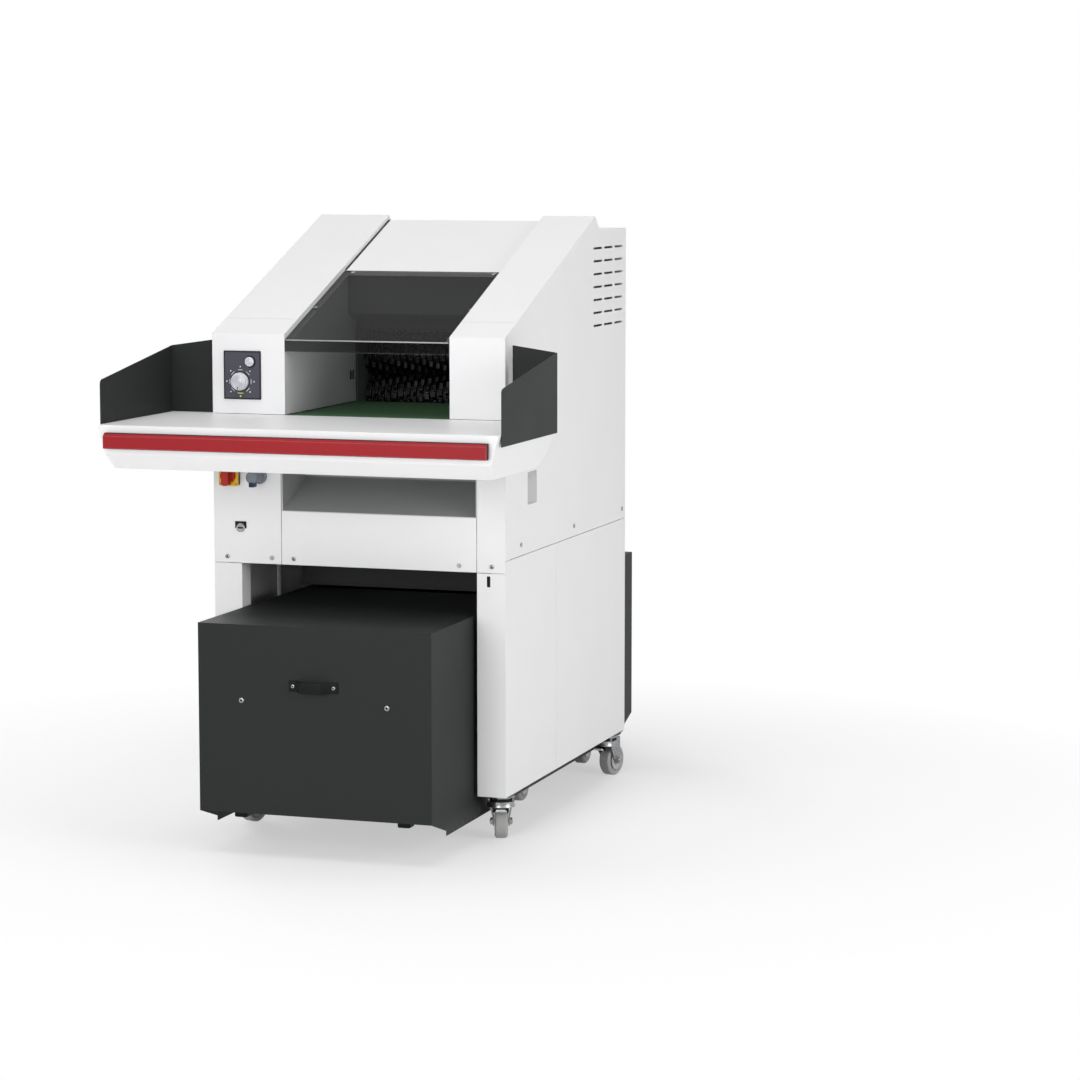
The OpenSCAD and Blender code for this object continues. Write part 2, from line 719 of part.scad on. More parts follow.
// Table top, fascia and ends of the feed table, folded from one sheet and open below
module feed_table() {
    foot_z = table_z - fascia_h - fascia_low_h;
    fascia = [[0, table_z], [-table_reach, table_z], [-table_reach, table_z - fascia_h],
              [fascia_back - table_reach, foot_z]];
    ends = [[-table_half, table_z], [table_half, table_z], [table_half - end_taper, foot_z],
            [end_taper - table_half, foot_z]];
    apron_z = table_z - apron_h;
    curve = [for (a = [10:20:90])
        [end_back - apron_r * (1 - cos(a)), apron_z - (apron_z - foot_z) * sin(a)]];
    side = concat([fascia[3], fascia[2], fascia[1]], [[end_back, table_z], [end_back, apron_z]], curve);
    color(casing_white) at_front() difference() {
        union() {
            intersection() {
                along_x(-table_half, table_half) polygon(folded(fascia, table_t));
                along_y(-table_reach - 1, end_back) polygon(ends);
            }
            for (s = [-1, 1]) on_side(s) {
                intersection() {
                    along_y(-table_reach - 1, end_back)
                        polygon(folded([ends[1], ends[2]], -table_t));
                    along_x(0, table_half) polygon(side);
                }
                block([half + side_clear, -1, table_z - table_t], [table_half - 1, end_back, table_z]);
            }
        }
        for (s = [-1, 1])
            rod_y(s * bar_pin_x, -table_reach - 1, 1 - table_reach + table_t, bar_z, bar_pin_d + 2 * run);
    }
}

// Side guard folded from one sheet: a side plate and a rear plate beside the casing
module guard(side) {
    front = guard_inset - table_reach;
    rear = end_back + sheet_t;
    outer = table_half + sheet_t;
    low = table_z - guard_lap;
    top = table_z + guard_rear_h;
    peak = top + guard_rise;
    front_top = table_z + guard_front_h;
    path = [[outer, front], [outer, rear], [half + guard_gap, rear]];
    outline = [[front, low], [rear, low], [rear, peak], [end_back, peak], [end_back, top],
               [front + guard_r, front_top]];
    corner = [for (a = [15:15:90]) [front + guard_r * (1 - sin(a)), front_top - guard_r * (1 - cos(a))]];
    across = [[half, low], [outer, low], [outer, top], [half + guard_gap, peak], [half, peak]];
    color(anthracite) at_front() on_side(side) intersection() {
        along_z(low, peak) polygon(folded(path, sheet_t));
        along_x(half, outer + 1) polygon(concat(outline, corner));
        along_y(front - 1, rear + 1) polygon(across);
    }
}
module left_guard() { guard(-1); }
module right_guard() { guard(1); }

// Bent acrylic screen over the throat
module safety_screen() {
    top_y = screen_y - seam_gap;
    path = [[top_y, hood_z(top_y)], [0, hood_z(0)], [0, hood_z(0) - lip_h]];
    color([0.25, 0.26, 0.27, 0.6]) at_front() difference() {
        along_x(throat_l + pass, throat_r - pass) polygon(folded(path, screen_t));
        screen_screw_holes();
    }
}

// Wall of the throat with the flange that carries the screen
module throat_wall(side) {
    edge = throat_edge(side);
    drop = screen_t * slope_k + rest_gap;
    wall = [[sheet_t, table_z + 1], [wall_d, table_z + 1], [wall_d, hood_z(wall_d) - drop],
            [sheet_t, hood_z(sheet_t) - drop]];
    strip = [[screen_y, hood_z(screen_y) - drop], [20, hood_z(20) - drop]];
    color(wall_grey) at_front() difference() {
        on_side(side) {
            along_x(edge, edge + sheet_t) polygon(wall);
            along_x(edge - flange_w, edge + sheet_t) polygon(folded(strip, sheet_t));
        }
        screen_screw_holes();
        for (y = [wall_d - 40, wall_d - 22])
            on_side(side) along_x(edge - 1, edge + sheet_t + 1)
                translate([y, table_z + 78]) rounded(6, 24, 2.5);
    }
}
module left_throat_wall() { throat_wall(-1); }
module right_throat_wall() { throat_wall(1); }

module infeed_baffle() {
    fold = table_z + baffle_fold_up;
    path = [[baffle_y, hood_z(baffle_y) - sheet_t * slope_k - pass], [baffle_y, fold],
            [baffle_y + baffle_mid, fold - baffle_fall], [shaft_y - baffle_clear, table_z + baffle_low_up]];
    color([0.30, 0.31, 0.31]) at_front()
        along_x(throat_l + pass, throat_r - pass) polygon(folded(path, sheet_t));
}

module control_plate() {
    color([0.30, 0.31, 0.35]) at_front() difference() {
        along_y(-plate_t, 0) translate([plate_x, plate_z]) rounded(plate_w, plate_h, plate_r);
        rod_y(knob_x, -plate_t - 1, 1, knob_z, spindle_d + 2 * run);
        rod_y(button_x, -plate_t - 1, 1, button_z, button_guide_d + 2 * run);
    }
}

// Bed under the belt with its two side rails, and legs that stand on the deck
module conveyor_frame() {
    front = roller_y - roller_d / 2;
    back = roller_y + belt_len + roller_d / 2;
    low = table_z - roller_d - 2 * belt_t - chute_gap / 4;
    top = table_z - rail_drop;
    leg_y = deck_rows[0];
    rail = [[front, low], [leg_y, low], [leg_y, deck_z], [back, deck_z], [back, top], [front, top]];
    bed_z = roller_z + roller_d / 2 - belt_slack;
    bed_gap = roller_d / 2 + chute_gap;
    color(zinc) at_front() {
        for (x = [throat_l, throat_r - rail_t]) difference() {
            along_x(x, x + rail_t) polygon(rail);
            for (y = [roller_y, roller_y + belt_len])
                rod_x(x - 1, x + rail_t + 1, y, roller_z, roller_pin_d + 2 * run);
        }
        block([throat_l, roller_y + bed_gap, bed_z - sheet_t],
              [throat_r, roller_y + belt_len - bed_gap, bed_z]);
    }
}

module belt_outline(r) {
    circle(r);
    translate([belt_len, 0]) circle(r);
    translate([0, -r]) square([belt_len, 2 * r]);
}
module conveyor_belt() {
    color([0.13, 0.30, 0.20]) at_front() along_x(belt_x0, belt_x1)
        translate([roller_y, roller_z]) difference() {
            belt_outline(belt_r + belt_t);
            belt_outline(belt_r);
        }
}

module belt_roller(y) {
    color(steel) at_front() {
        rod_x(belt_x0, belt_x1, y, roller_z, roller_d);
        rod_x(throat_l + rest_gap, throat_r - rest_gap, y, roller_z, roller_pin_d);
    }
}
module front_roller() { belt_roller(roller_y); }
module rear_roller() { belt_roller(roller_y + belt_len); }

// Side plate of the cutting unit, standing on the deck
module bearer_plate(x) {
    y0 = deck_rows[1] + 0.1 * tube;
    y1 = deck_rows[2] + 0.9 * tube;
    top = upper_z + bearer_up;
    cut = bearer_bevel;
    outline = [[y0, deck_z], [y1, deck_z], [y1, top - cut], [y1 - cut, top],
               [y0 + cut, top], [y0, top - cut]];
    color([0.42, 0.43, 0.45]) at_front() difference() {
        along_x(x, x + bearer_t) polygon(outline);
        for (z = [shaft_z, upper_z]) rod_x(x - 1, x + bearer_t + 1, shaft_y, z, journal_d + 2 * run);
    }
}
module left_bearer_plate() { bearer_plate(bearer_x0 - bearer_t); }
module right_bearer_plate() { bearer_plate(bearer_x1); }

// Outline of a cutting disc: hooked teeth with a steep front and a long back
function polar(r, a) = [r * cos(a), r * sin(a)];
function disc_outline(turn) =
    let (step = 360 / disc_teeth, r = disc_d / 2)
    [for (i = [0:disc_teeth - 1]) let (a = i * step + turn)
        each [polar(r, a), polar(r - 1.5, a + step * 0.45), polar(r - tooth_h, a + step * 0.6)]];

// Cutting shaft: journals, core and a row of discs that pass between those of the other shaft
module cutting_shaft(z, offset, hand, end_x) {
    color(steel) at_front() {
        rod_x(throat_l, throat_r, shaft_y, z, core_d);
        rod_x(bearer_x0 - bearer_t - gear_gap / 4, bearer_x1 + bearer_t + bearer_gap, shaft_y, z, journal_d);
        rod_x(end_x, bearer_x0, shaft_y, z, stub_d);
        for (i = [0:disc_count - 1]) {
            x = throat_l + offset + i * disc_pitch;
            along_x(x, x + disc_t) translate([shaft_y, z]) scale([1, hand])
                polygon(disc_outline(i * disc_turn));
        }
    }
}
module upper_cutting_shaft() { cutting_shaft(upper_z, pass, 1, gear_x - gear_w - gear_gap / 2); }
module lower_cutting_shaft() { cutting_shaft(shaft_z, disc_pitch / 2 + pass, -1, stub_end); }

// Involute timing gear with a little backlash
function involute(r, base) = r <= base ? 0 : let (a = acos(base / r)) tan(a) * 180 / PI - a;
function gear_outline(turn) =
    let (pitch = shaft_gap / 2, base = pitch * cos(20), tip = pitch + gear_m, root = pitch - 1.25 * gear_m,
         rings = [root, base + 0.6, pitch, pitch + gear_m / 2, tip], middle = 90 / gear_teeth - 0.25)
    [for (i = [0:gear_teeth - 1]) for (j = [0:2 * len(rings) - 1])
        let (up = j < len(rings), r = rings[up ? j : 2 * len(rings) - 1 - j],
             w = middle - involute(r, base) + involute(pitch, base),
             a = turn + i * 360 / gear_teeth + (up ? -w : w))
        polar(r, a)];
module timing_gear(z, turn) {
    color(steel) at_front() difference() {
        union() {
            along_x(gear_x - gear_w, gear_x) translate([shaft_y, z]) polygon(gear_outline(turn));
            rod_x(gear_x - gear_w, gear_x + gear_gap / 2, shaft_y, z, 1.6 * stub_d);
        }
        rod_x(gear_x - gear_w - 1, gear_x + gear_gap, shaft_y, z, stub_d + 2 * run);
    }
}
module lower_timing_gear() { timing_gear(shaft_z, 90); }
module upper_timing_gear() { timing_gear(upper_z, -90 + 180 / gear_teeth); }

// Gearbox on its foot beside the timing gears, and the motor flanged to it
module gearbox() {
    cut = gearbox_h / 3;
    top = shaft_z + gearbox_h;
    low = shaft_z - gearbox_h;
    housing = [[gearbox_y0, low], [gearbox_y1, low], [gearbox_y1, top - cut], [gearbox_y1 - cut, top],
               [gearbox_y0 + cut, top], [gearbox_y0, top - cut]];
    color(drive_blue) at_front() difference() {
        union() {
            along_x(gearbox_x0, gearbox_x1) polygon(housing);
            block([gearbox_x0, deck_rows[1], deck_z], [gearbox_x1, deck_rows[2] + tube, deck_z + foot_t]);
            block([gearbox_x0 + foot_t, gearbox_y0 + foot_t, deck_z],
                  [gearbox_x1 - foot_t, gearbox_y1 - foot_t, shaft_z]);
            rod_x(gearbox_x1, gearbox_x1 + gear_gap / 2, shaft_y, shaft_z, 2 * stub_d);
        }
        rod_x(stub_end - gear_gap / 2, gearbox_x1 + gear_gap, shaft_y, shaft_z, stub_d + 2 * run);
    }
}
module drive_motor() {
    flange_t = foot_t;
    barrel_d = 0.85 * motor_d;
    rib_t = motor_d / 45;
    end = gearbox_y1 + motor_l;
    color(drive_blue) at_front() translate([(gearbox_x0 + gearbox_x1) / 2, 0, shaft_z]) {
        rod_y(0, gearbox_y1, gearbox_y1 + flange_t, 0, motor_d);
        rod_y(0, gearbox_y1, end, 0, barrel_d);
        rod_y(0, end - fan_l, end, 0, motor_d);
        for (i = [0:rib_count - 1]) rotate([0, i * 360 / rib_count, 0])
            block([-rib_t / 2, gearbox_y1 + flange_t, 0], [rib_t / 2, end - 0.9 * fan_l, 0.48 * motor_d]);
    }
}

// Main switch: black base, yellow plate and red handle
module switch_slab(y0, y1, side, r) {
    difference() {
        along_y(y0, y1) translate([switch_x, switch_z]) rounded(side, side, r);
        rod_y(switch_x, y0 - 1, y1 + 1, switch_z, switch_shaft_d + 2 * run);
    }
}
module switch_base() {
    color(black) at_front() switch_slab(-switch_base_d, 0, 0.94 * switch_s, 0.05 * switch_s);
}
module switch_plate() {
    color([0.90, 0.72, 0.10]) at_front() switch_slab(-switch_d, -switch_base_d, switch_s, 0.06 * switch_s);
}
module switch_handle() {
    color(signal_red) at_front() translate([switch_x, -switch_d, switch_z]) {
        rod_y(0, -0.3 * switch_grip_d, -rest_gap, 0, 0.8 * switch_grip_l);
        along_y(-switch_grip_d, -0.25 * switch_grip_d)
            rounded(switch_grip_w, switch_grip_l, switch_grip_w / 3);
        rod_y(0, -0.2 * switch_grip_d, switch_d + sheet_t, 0, switch_shaft_d);
    }
}

// Round power inlet that stands out of the service panel, with a collar and a sprung lid
module power_inlet() {
    lid_t = 0.12 * inlet_d;
    color([0.52, 0.55, 0.60]) at_front() translate([inlet_x, 0, switch_z]) {
        rod_y(0, -0.2 * inlet_l, 0, 0, 1.3 * inlet_d);
        rod_y(0, -inlet_l, 0, 0, inlet_d);
        rod_y(0, -inlet_l, lid_t - inlet_l, 0, 1.15 * inlet_d);
        rod_y(0, -1, sheet_t, 0, 0.6 * inlet_d);
        block([-0.2 * inlet_d, -inlet_l, -0.75 * inlet_d],
              [0.2 * inlet_d, -0.65 * inlet_l, -0.4 * inlet_d]);
    }
}

// Quarter-turn latch of the service panel with its tongue behind the keeper
module panel_latch() {
    tongue_y = sheet_t + keeper_t + 1;
    slot_w = latch_d / 6;
    color(zinc) at_front() translate([latch_x, 0, latch_z]) difference() {
        union() {
            rod_y(0, -0.2 * latch_d, -rest_gap, 0, latch_d);
            rod_y(0, -1, tongue_y + keeper_t + 1, 0, latch_stem_d);
            block([-latch_l, tongue_y, -latch_d / 3], [latch_d / 2, tongue_y + keeper_t, latch_d / 3]);
        }
        along_y(-latch_d, -0.08 * latch_d) rounded(0.75 * latch_d, slot_w, slot_w / 3);
    }
}

module cover_screws() {
    color(zinc) at_front() {
        for (x = front_screws) {
            rod_y(x, -screw_head_h, 0, screw_z, screw_head_d);
            rod_y(x, -1, sheet_t, screw_z, screw_d);
        }
        for (side = [-1, 1], y = side_screws) on_side(side) {
            rod_x(half, half + screw_head_h, y, side_screw_z, screw_head_d);
            rod_x(inner, half + 1, y, side_screw_z, screw_d);
        }
        for (p = screen_screws) on_hood(p[0], p[1]) {
            cylinder(d = screw_head_d, h = screw_head_h);
            translate([0, 0, -screen_t]) cylinder(d = screw_d, h = screen_t + 1);
        }
    }
}

// Red bar along the fascia on two guide pins; pressing it stops the machine
module stop_bar() {
    back = -table_reach - bar_gap;
    front = back - bar_d;
    low = bar_z - bar_h / 2;
    top = bar_z + bar_h / 2;
    profile = [[back, low], [back, top], [back - bar_d / 2, top], [front, top - bar_bevel], [front, low + 2],
               [front + 2, low]];
    color(signal_red) at_front() {
        along_x(-bar_half, bar_half) polygon(profile);
        for (s = [-1, 1])
            rod_y(s * bar_pin_x, back - 1, table_t + bar_pin_l - table_reach, bar_z, bar_pin_d);
    }
}

// Round selector knob with a pointer groove, and the start button, each on its stem
module selector_knob() {
    r = knob_d / 2;
    color([0.80, 0.81, 0.82]) at_front() translate([knob_x, -plate_t, knob_z]) difference() {
        union() {
            rotate([90, 0, 0]) translate([0, 0, rest_gap]) rotate_extrude()
                polygon([[0, 0], [r, 0], [r, 0.45 * knob_h], [0.94 * r, 0.5 * knob_h],
                         [0.86 * r, 0.94 * knob_h], [0.8 * r, knob_h], [0, knob_h]]);
            rod_y(0, -1, plate_t + sheet_t + stem_l, 0, spindle_d);
        }
        block([-0.05 * r, -knob_h - 1, -0.95 * r], [0.05 * r, 1 - knob_h, -0.4 * r]);
    }
}
module start_button() {
    r = button_d / 2;
    color([0.78, 0.79, 0.80]) at_front() translate([button_x, -plate_t, button_z]) {
        rotate([90, 0, 0]) translate([0, 0, button_travel + pass]) rotate_extrude()
            polygon([[0, 0], [r, 0], [r, 0.25 * r], [0.85 * r, 0.4 * r], [0, 0.42 * r]]);
        rod_y(0, -button_travel - 1, plate_t + sheet_t + stem_l, 0, button_guide_d);
    }
}

// Casters: fixed top plate with its kingpin, swivelling fork with the axle, and the wheel
module caster_plates() {
    plate_x = 0.56 * crown_d;
    plate_y = 0.7 * crown_d;
    color([0.12, 0.12, 0.13]) at_front() for (c = casters) translate([c[0] * caster_x, c[1], 0]) {
        block([-plate_x, -plate_y, base_z - caster_plate_t], [plate_x, plate_y, base_z]);
        rod_z(0, 0, crown_z - 2, base_z - 1, kingpin_d);
    }
}
module at_caster(i) {
    c = casters[i];
    at_front() translate([c[0] * caster_x, c[1], 0]) rotate([0, 0, -c[0] * c[2]]) children();
}
// Pressed fork: a ringed head, two cheeks that draw in towards the wheel, a brake leaf and the axle
module fork(i) {
    cheek_x = wheel_w / 2 + wheel_gap;
    wide_x = 0.43 * crown_d;
    low_z = wheel_r - axle_d;
    cheek = [[cheek_x, low_z], [cheek_x, wheel_r + axle_d], [wide_x, crown_z + 1]];
    side = [[-0.35 * crown_d, crown_z + fork_t], [0.4 * crown_d, crown_z + fork_t],
            [trail + 1.2 * axle_d, wheel_r + 0.7 * axle_d], [trail + 0.8 * axle_d, low_z],
            [trail - 0.8 * axle_d, low_z], [trail - 1.7 * axle_d, wheel_r + 0.3 * axle_d],
            [-0.35 * crown_d, crown_z - fork_t]];
    leaf_y = -0.42 * crown_d;
    leaf_z = crown_z - 1.6 * head_t;
    color(zinc) at_caster(i) {
        difference() {
            union() {
                rod_z(0, 0, crown_z, crown_z + 0.55 * head_t, crown_d);
                rod_z(0, 0, crown_z, head_z, 0.86 * crown_d);
            }
            rod_z(0, 0, crown_z - 1, head_z + 1, kingpin_d + 2 * run);
        }
        intersection() {
            along_x(-crown_d, crown_d) polygon(side);
            along_y(-crown_d, 2 * crown_d) for (s = [0, 1]) mirror([s, 0]) polygon(folded(cheek, -fork_t));
        }
        block([-0.3 * crown_d, leaf_y, leaf_z], [0.3 * crown_d, leaf_y + fork_t, crown_z + 1]);
        block([-0.2 * crown_d, leaf_y - head_t, leaf_z], [0.2 * crown_d, leaf_y + 1, leaf_z + fork_t]);
        rod_x(-cheek_x - 2 * fork_t, cheek_x + 2 * fork_t, trail, wheel_r, axle_d);
    }
}
module wheel_outline(d, w) {
    r = d / 2;
    e = w / 2;
    bore = axle_d / 2 + run;
    polygon([[bore, 1 - e], [14, 1 - e], [16, 5 - e], [r - 14, 5 - e], [r - 11, 1 - e], [r - 5, -e],
             [r, 5 - e], [r, e - 5], [r - 5, e], [r - 11, e - 1], [r - 14, e - 5], [16, e - 5], [14, e - 1],
             [bore, e - 1]]);
}
module wheel(i) {
    color(tread_grey) at_caster(i) translate([0, trail, wheel_r]) rotate([0, 90, 0])
        rotate_extrude() wheel_outline(wheel_d, wheel_w);
}
module front_right_fork() { fork(0); }
module front_left_fork() { fork(1); }
module rear_right_fork() { fork(2); }
module rear_left_fork() { fork(3); }
module front_right_wheel() { wheel(0); }
module front_left_wheel() { wheel(1); }
module rear_right_wheel() { wheel(2); }
module rear_left_wheel() { wheel(3); }

// Long container: floor, walls and skirts, closed on top at both ends and open under the cutting unit
module container() {
    foot = skirt_z + toe_step;
    skirt = [[-box_front, box_floor_z], [toe_d - box_front, foot], [toe_d - box_front, skirt_z],
             [box_back - toe_d, skirt_z], [box_back - toe_d, foot], [box_back, box_floor_z],
             [box_back, box_top_z], [-box_front, box_top_z]];
    color(anthracite) at_front() difference() {
        union() {
            for (side = [-1, 1]) on_side(side) along_x(box_half - box_t, box_half) polygon(skirt);
            block([-box_half, -box_front, box_floor_z], [box_half, box_back, box_floor_z + box_t]);
            block([-box_half, -box_front, box_floor_z], [box_half, box_t - box_front, box_top_z]);
            block([-box_half, box_back - box_t, box_floor_z], [box_half, box_back, box_top_z]);
            block([-box_half, -box_front, box_top_z - box_t], [box_half, shaft_y - fill_front, box_top_z]);
            block([-box_half, shaft_y + fill_rear, box_top_z - box_t], [box_half, box_back, box_top_z]);
        }
        for (s = [-1, 1]) rod_y(s * bolt_x, -box_front - 1, 1 - box_front + box_t, bolt_z, bolt_d + 2 * run);
    }
}
// Strap handle: two flat ends on the container and a bowed band between them
module container_handle() {
    end = handle_w / 2;
    bow = end - strap_pad - strap_ramp;
    path = [[-end, 0], [strap_pad - end, 0], [-bow, -finger_gap], [bow, -finger_gap],
            [end - strap_pad, 0], [end, 0]];
    color(black) at_front() translate([0, -box_front, 0])
        along_z(handle_z - strap_w / 2, handle_z + strap_w / 2) polygon(folded(path, -strap_t));
}
module container_bolts() {
    color(zinc) at_front() for (s = [-1, 1]) {
        rod_y(s * bolt_x, -box_front - bolt_d / 2, -box_front, bolt_z, bolt_head_d);
        rod_y(s * bolt_x, -box_front - 1, box_t - box_front, bolt_z, bolt_d);
    }
}
module container_forks() {
    cheek_x = wheel_w / 2 + wheel_gap;
    low_z = wheel_r - axle_d;
    top_z = box_floor_z - fork_t;
    cheek = [[-0.38 * crown_d, top_z], [0.38 * crown_d, top_z], [axle_d, low_z], [-axle_d, low_z]];
    color(zinc) at_front() for (w = box_wheels) translate([w[0] * box_wheel_x, w[1], 0]) {
        block([-0.6 * crown_d, -0.55 * crown_d, top_z], [0.6 * crown_d, 0.55 * crown_d, box_floor_z]);
        for (s = [-1, 1]) on_side(s) along_x(cheek_x, cheek_x + fork_t) polygon(cheek);
        rod_x(-cheek_x - 2 * fork_t, cheek_x + 2 * fork_t, 0, wheel_r, axle_d);
    }
}
module box_wheel(i) {
    w = box_wheels[i];
    color(tread_grey) at_front() translate([w[0] * box_wheel_x, w[1], wheel_r]) rotate([0, 90, 0])
        rotate_extrude() wheel_outline(wheel_d, wheel_w);
}
module mid_right_roller() { box_wheel(0); }
module mid_left_roller() { box_wheel(1); }
module back_right_roller() { box_wheel(2); }
module back_left_roller() { box_wheel(3); }

base_frame();
left_column_panel();
right_column_panel();
left_lower_panel();
right_lower_panel();
left_side_cover();
right_side_cover();
left_front_cover();
right_front_cover();
centre_hood();
rear_panel();
service_panel();
chute_panel();
right_front_panel();
feed_table();
left_guard();
right_guard();
safety_screen();
left_throat_wall();
right_throat_wall();
infeed_baffle();
control_plate();
conveyor_frame();
conveyor_belt();
left_bearer_plate();
right_bearer_plate();
gearbox();
drive_motor();
switch_base();
switch_plate();
power_inlet();
cover_screws();
caster_plates();
stop_bar();
selector_knob();
start_button();
switch_handle();
panel_latch();
front_roller();
rear_roller();
upper_cutting_shaft();
lower_cutting_shaft();
upper_timing_gear();
lower_timing_gear();
front_right_fork();
front_left_fork();
rear_right_fork();
rear_left_fork();
front_right_wheel();
front_left_wheel();
rear_right_wheel();
rear_left_wheel();
container();
container_handle();
container_bolts();
container_forks();
mid_right_roller();
mid_left_roller();
back_right_roller();
back_left_roller();
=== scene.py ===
# %% [markdown]
# # An industrial paper shredder
# The machine is a white sheet-metal cabinet on casters. Paper goes over a feed table and a belt
# into a throat under a smoked screen, and the shreds fall into a long dark container. All solids
# come from the CAD frame, in metres, with the floor at Z = 0 and the operator's side at -Y. This
# lesson gives every surface its finish and adds the small pieces that only matter to the eye.

# %% Load the machine
import json
import math

import bmesh
import bpy
from mathutils import Matrix, Vector

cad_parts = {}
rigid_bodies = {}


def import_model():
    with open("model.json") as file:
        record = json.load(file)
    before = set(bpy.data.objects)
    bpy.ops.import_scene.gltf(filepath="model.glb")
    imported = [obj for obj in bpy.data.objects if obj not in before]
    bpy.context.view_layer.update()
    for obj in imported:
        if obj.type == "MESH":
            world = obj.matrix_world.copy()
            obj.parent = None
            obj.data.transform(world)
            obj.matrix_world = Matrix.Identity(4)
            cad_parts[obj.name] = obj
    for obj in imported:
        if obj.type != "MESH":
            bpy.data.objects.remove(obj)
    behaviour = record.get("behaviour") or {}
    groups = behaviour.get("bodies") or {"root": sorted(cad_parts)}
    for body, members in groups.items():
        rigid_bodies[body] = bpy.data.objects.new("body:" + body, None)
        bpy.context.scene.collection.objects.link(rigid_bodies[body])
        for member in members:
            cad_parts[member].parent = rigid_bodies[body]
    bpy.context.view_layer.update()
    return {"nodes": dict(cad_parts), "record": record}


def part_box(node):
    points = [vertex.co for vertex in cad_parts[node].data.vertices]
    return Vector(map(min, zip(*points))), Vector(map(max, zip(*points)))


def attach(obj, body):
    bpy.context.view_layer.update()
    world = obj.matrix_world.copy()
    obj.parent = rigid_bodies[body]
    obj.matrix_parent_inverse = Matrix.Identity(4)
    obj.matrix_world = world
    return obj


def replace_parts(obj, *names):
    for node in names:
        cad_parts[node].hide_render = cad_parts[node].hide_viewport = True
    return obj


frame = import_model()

MM = 0.001
nodes = frame["nodes"]


def low(node):
    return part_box(node)[0]


def high(node):
    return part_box(node)[1]


def middle(node):
    return (low(node) + high(node)) / 2


def centred_at(node, y):
    return Vector((middle(node).x, y, middle(node).z))


def half_width(node):
    return (high(node).x - low(node).x) / 2


def mesh_points(node):
    return [vertex.co for vertex in nodes[node].data.vertices]


# %% [markdown]
# ## Camera
# The photograph was taken from the operator's right with a long lens. Fitting the straight edges
# of the cabinet gave the direction, the distance and the lens. The camera comes first, so that
# each later step can be looked at through it.

# %% Camera
front_y = low("service_panel").y
view_azimuth = math.radians(18.1)
view_elevation = math.radians(6.794)
view_distance = 9.197
view_target = Vector((0.3938, front_y + 0.4, 0.7996))

camera_data = bpy.data.cameras.new("camera")
camera_data.sensor_width = 36
camera_data.lens = 108.81
camera = bpy.data.objects.new("camera", camera_data)
bpy.context.collection.objects.link(camera)
towards_camera = Vector((math.sin(view_azimuth) * math.cos(view_elevation),
                         -math.cos(view_azimuth) * math.cos(view_elevation),
                         math.sin(view_elevation)))
camera.location = view_target + towards_camera * view_distance
camera.rotation_euler = (-towards_camera).to_track_quat("-Z", "Y").to_euler()
bpy.context.scene.camera = camera
bpy.context.scene.view_settings.view_transform = "Standard"
print("camera at", [round(v, 3) for v in camera.location])

# %% [markdown]
# ## Node helpers
# The floor, the world and all finishes are node trees. A few helpers keep them short: each makes a
# node, feeds its sockets with numbers or with what other nodes put out, and hands back its result.

# %% Nodes
def feed(tree, socket, value):
    if isinstance(value, bpy.types.NodeSocket):
        tree.links.new(value, socket)
    elif value is not None:
        socket.default_value = value


def math_node(tree, operation, a, b=None):
    node = tree.nodes.new("ShaderNodeMath")
    node.operation = operation
    feed(tree, node.inputs[0], a)
    feed(tree, node.inputs[1], b)
    return node.outputs[0]


def range_node(tree, value, from_low, from_high, to_low, to_high):
    node = tree.nodes.new("ShaderNodeMapRange")
    names = ("Value", "From Min", "From Max", "To Min", "To Max")
    for name, number in zip(names, (value, from_low, from_high, to_low, to_high)):
        feed(tree, node.inputs[name], number)
    return node.outputs["Result"]


# The mix node has float, vector and colour sockets under the same names, so the colour ones are
# picked by kind.
def mix_colour(tree, factor, a, b, blend="MIX"):
    node = tree.nodes.new("ShaderNodeMix")
    node.data_type = "RGBA"
    node.blend_type = blend
    ends = [s for s in node.inputs if s.type == "RGBA"]
    for socket, value in ((node.inputs[0], factor), (ends[0], a), (ends[1], b)):
        feed(tree, socket, value)
    return [s for s in node.outputs if s.type == "RGBA"][0]


def noise_at(tree, scale, detail, stretch=None):
    place = tree.nodes.new("ShaderNodeTexCoord").outputs["Object"]
    if stretch is not None:
        mapping = tree.nodes.new("ShaderNodeMapping")
        feed(tree, mapping.inputs["Vector"], place)
        feed(tree, mapping.inputs["Scale"], stretch)
        place = mapping.outputs["Vector"]
    noise = tree.nodes.new("ShaderNodeTexNoise")
    for name, value in (("Vector", place), ("Scale", scale), ("Detail", detail)):
        feed(tree, noise.inputs[name], value)
    return noise.outputs["Fac"]


def position(tree, axis):
    place = tree.nodes.new("ShaderNodeNewGeometry")
    split = tree.nodes.new("ShaderNodeSeparateXYZ")
    feed(tree, split.inputs[0], place.outputs["Position"])
    return split.outputs[axis]


# Rays that look at the stage itself: from the camera, off mirrors and through clear sheet
def seen_rays(tree):
    path = tree.nodes.new("ShaderNodeLightPath").outputs
    direct = math_node(tree, "MAXIMUM", path["Is Camera Ray"], path["Is Glossy Ray"])
    return math_node(tree, "MAXIMUM", direct, path["Is Transmission Ray"])


print("node helpers ready")

# %% [markdown]
# ## Floor and light
# A white studio sweep lights the cabinet almost evenly. The floor is a pale disc that keeps the
# shadow near the machine and fades to plain white further out. The world shows white to the
# camera and to mirrors, and lights everything else with a soft grey. Four large lamps add
# direction: one behind the operator, one from the right, one overhead, and one that keeps the
# back and the left side from going dull.

# %% Floor
FLOOR_RADIUS = 40.0
SHADOW_RADIUS = 1.0
FADE_RADIUS = 2.4
SHADOW_EASE = 0.5


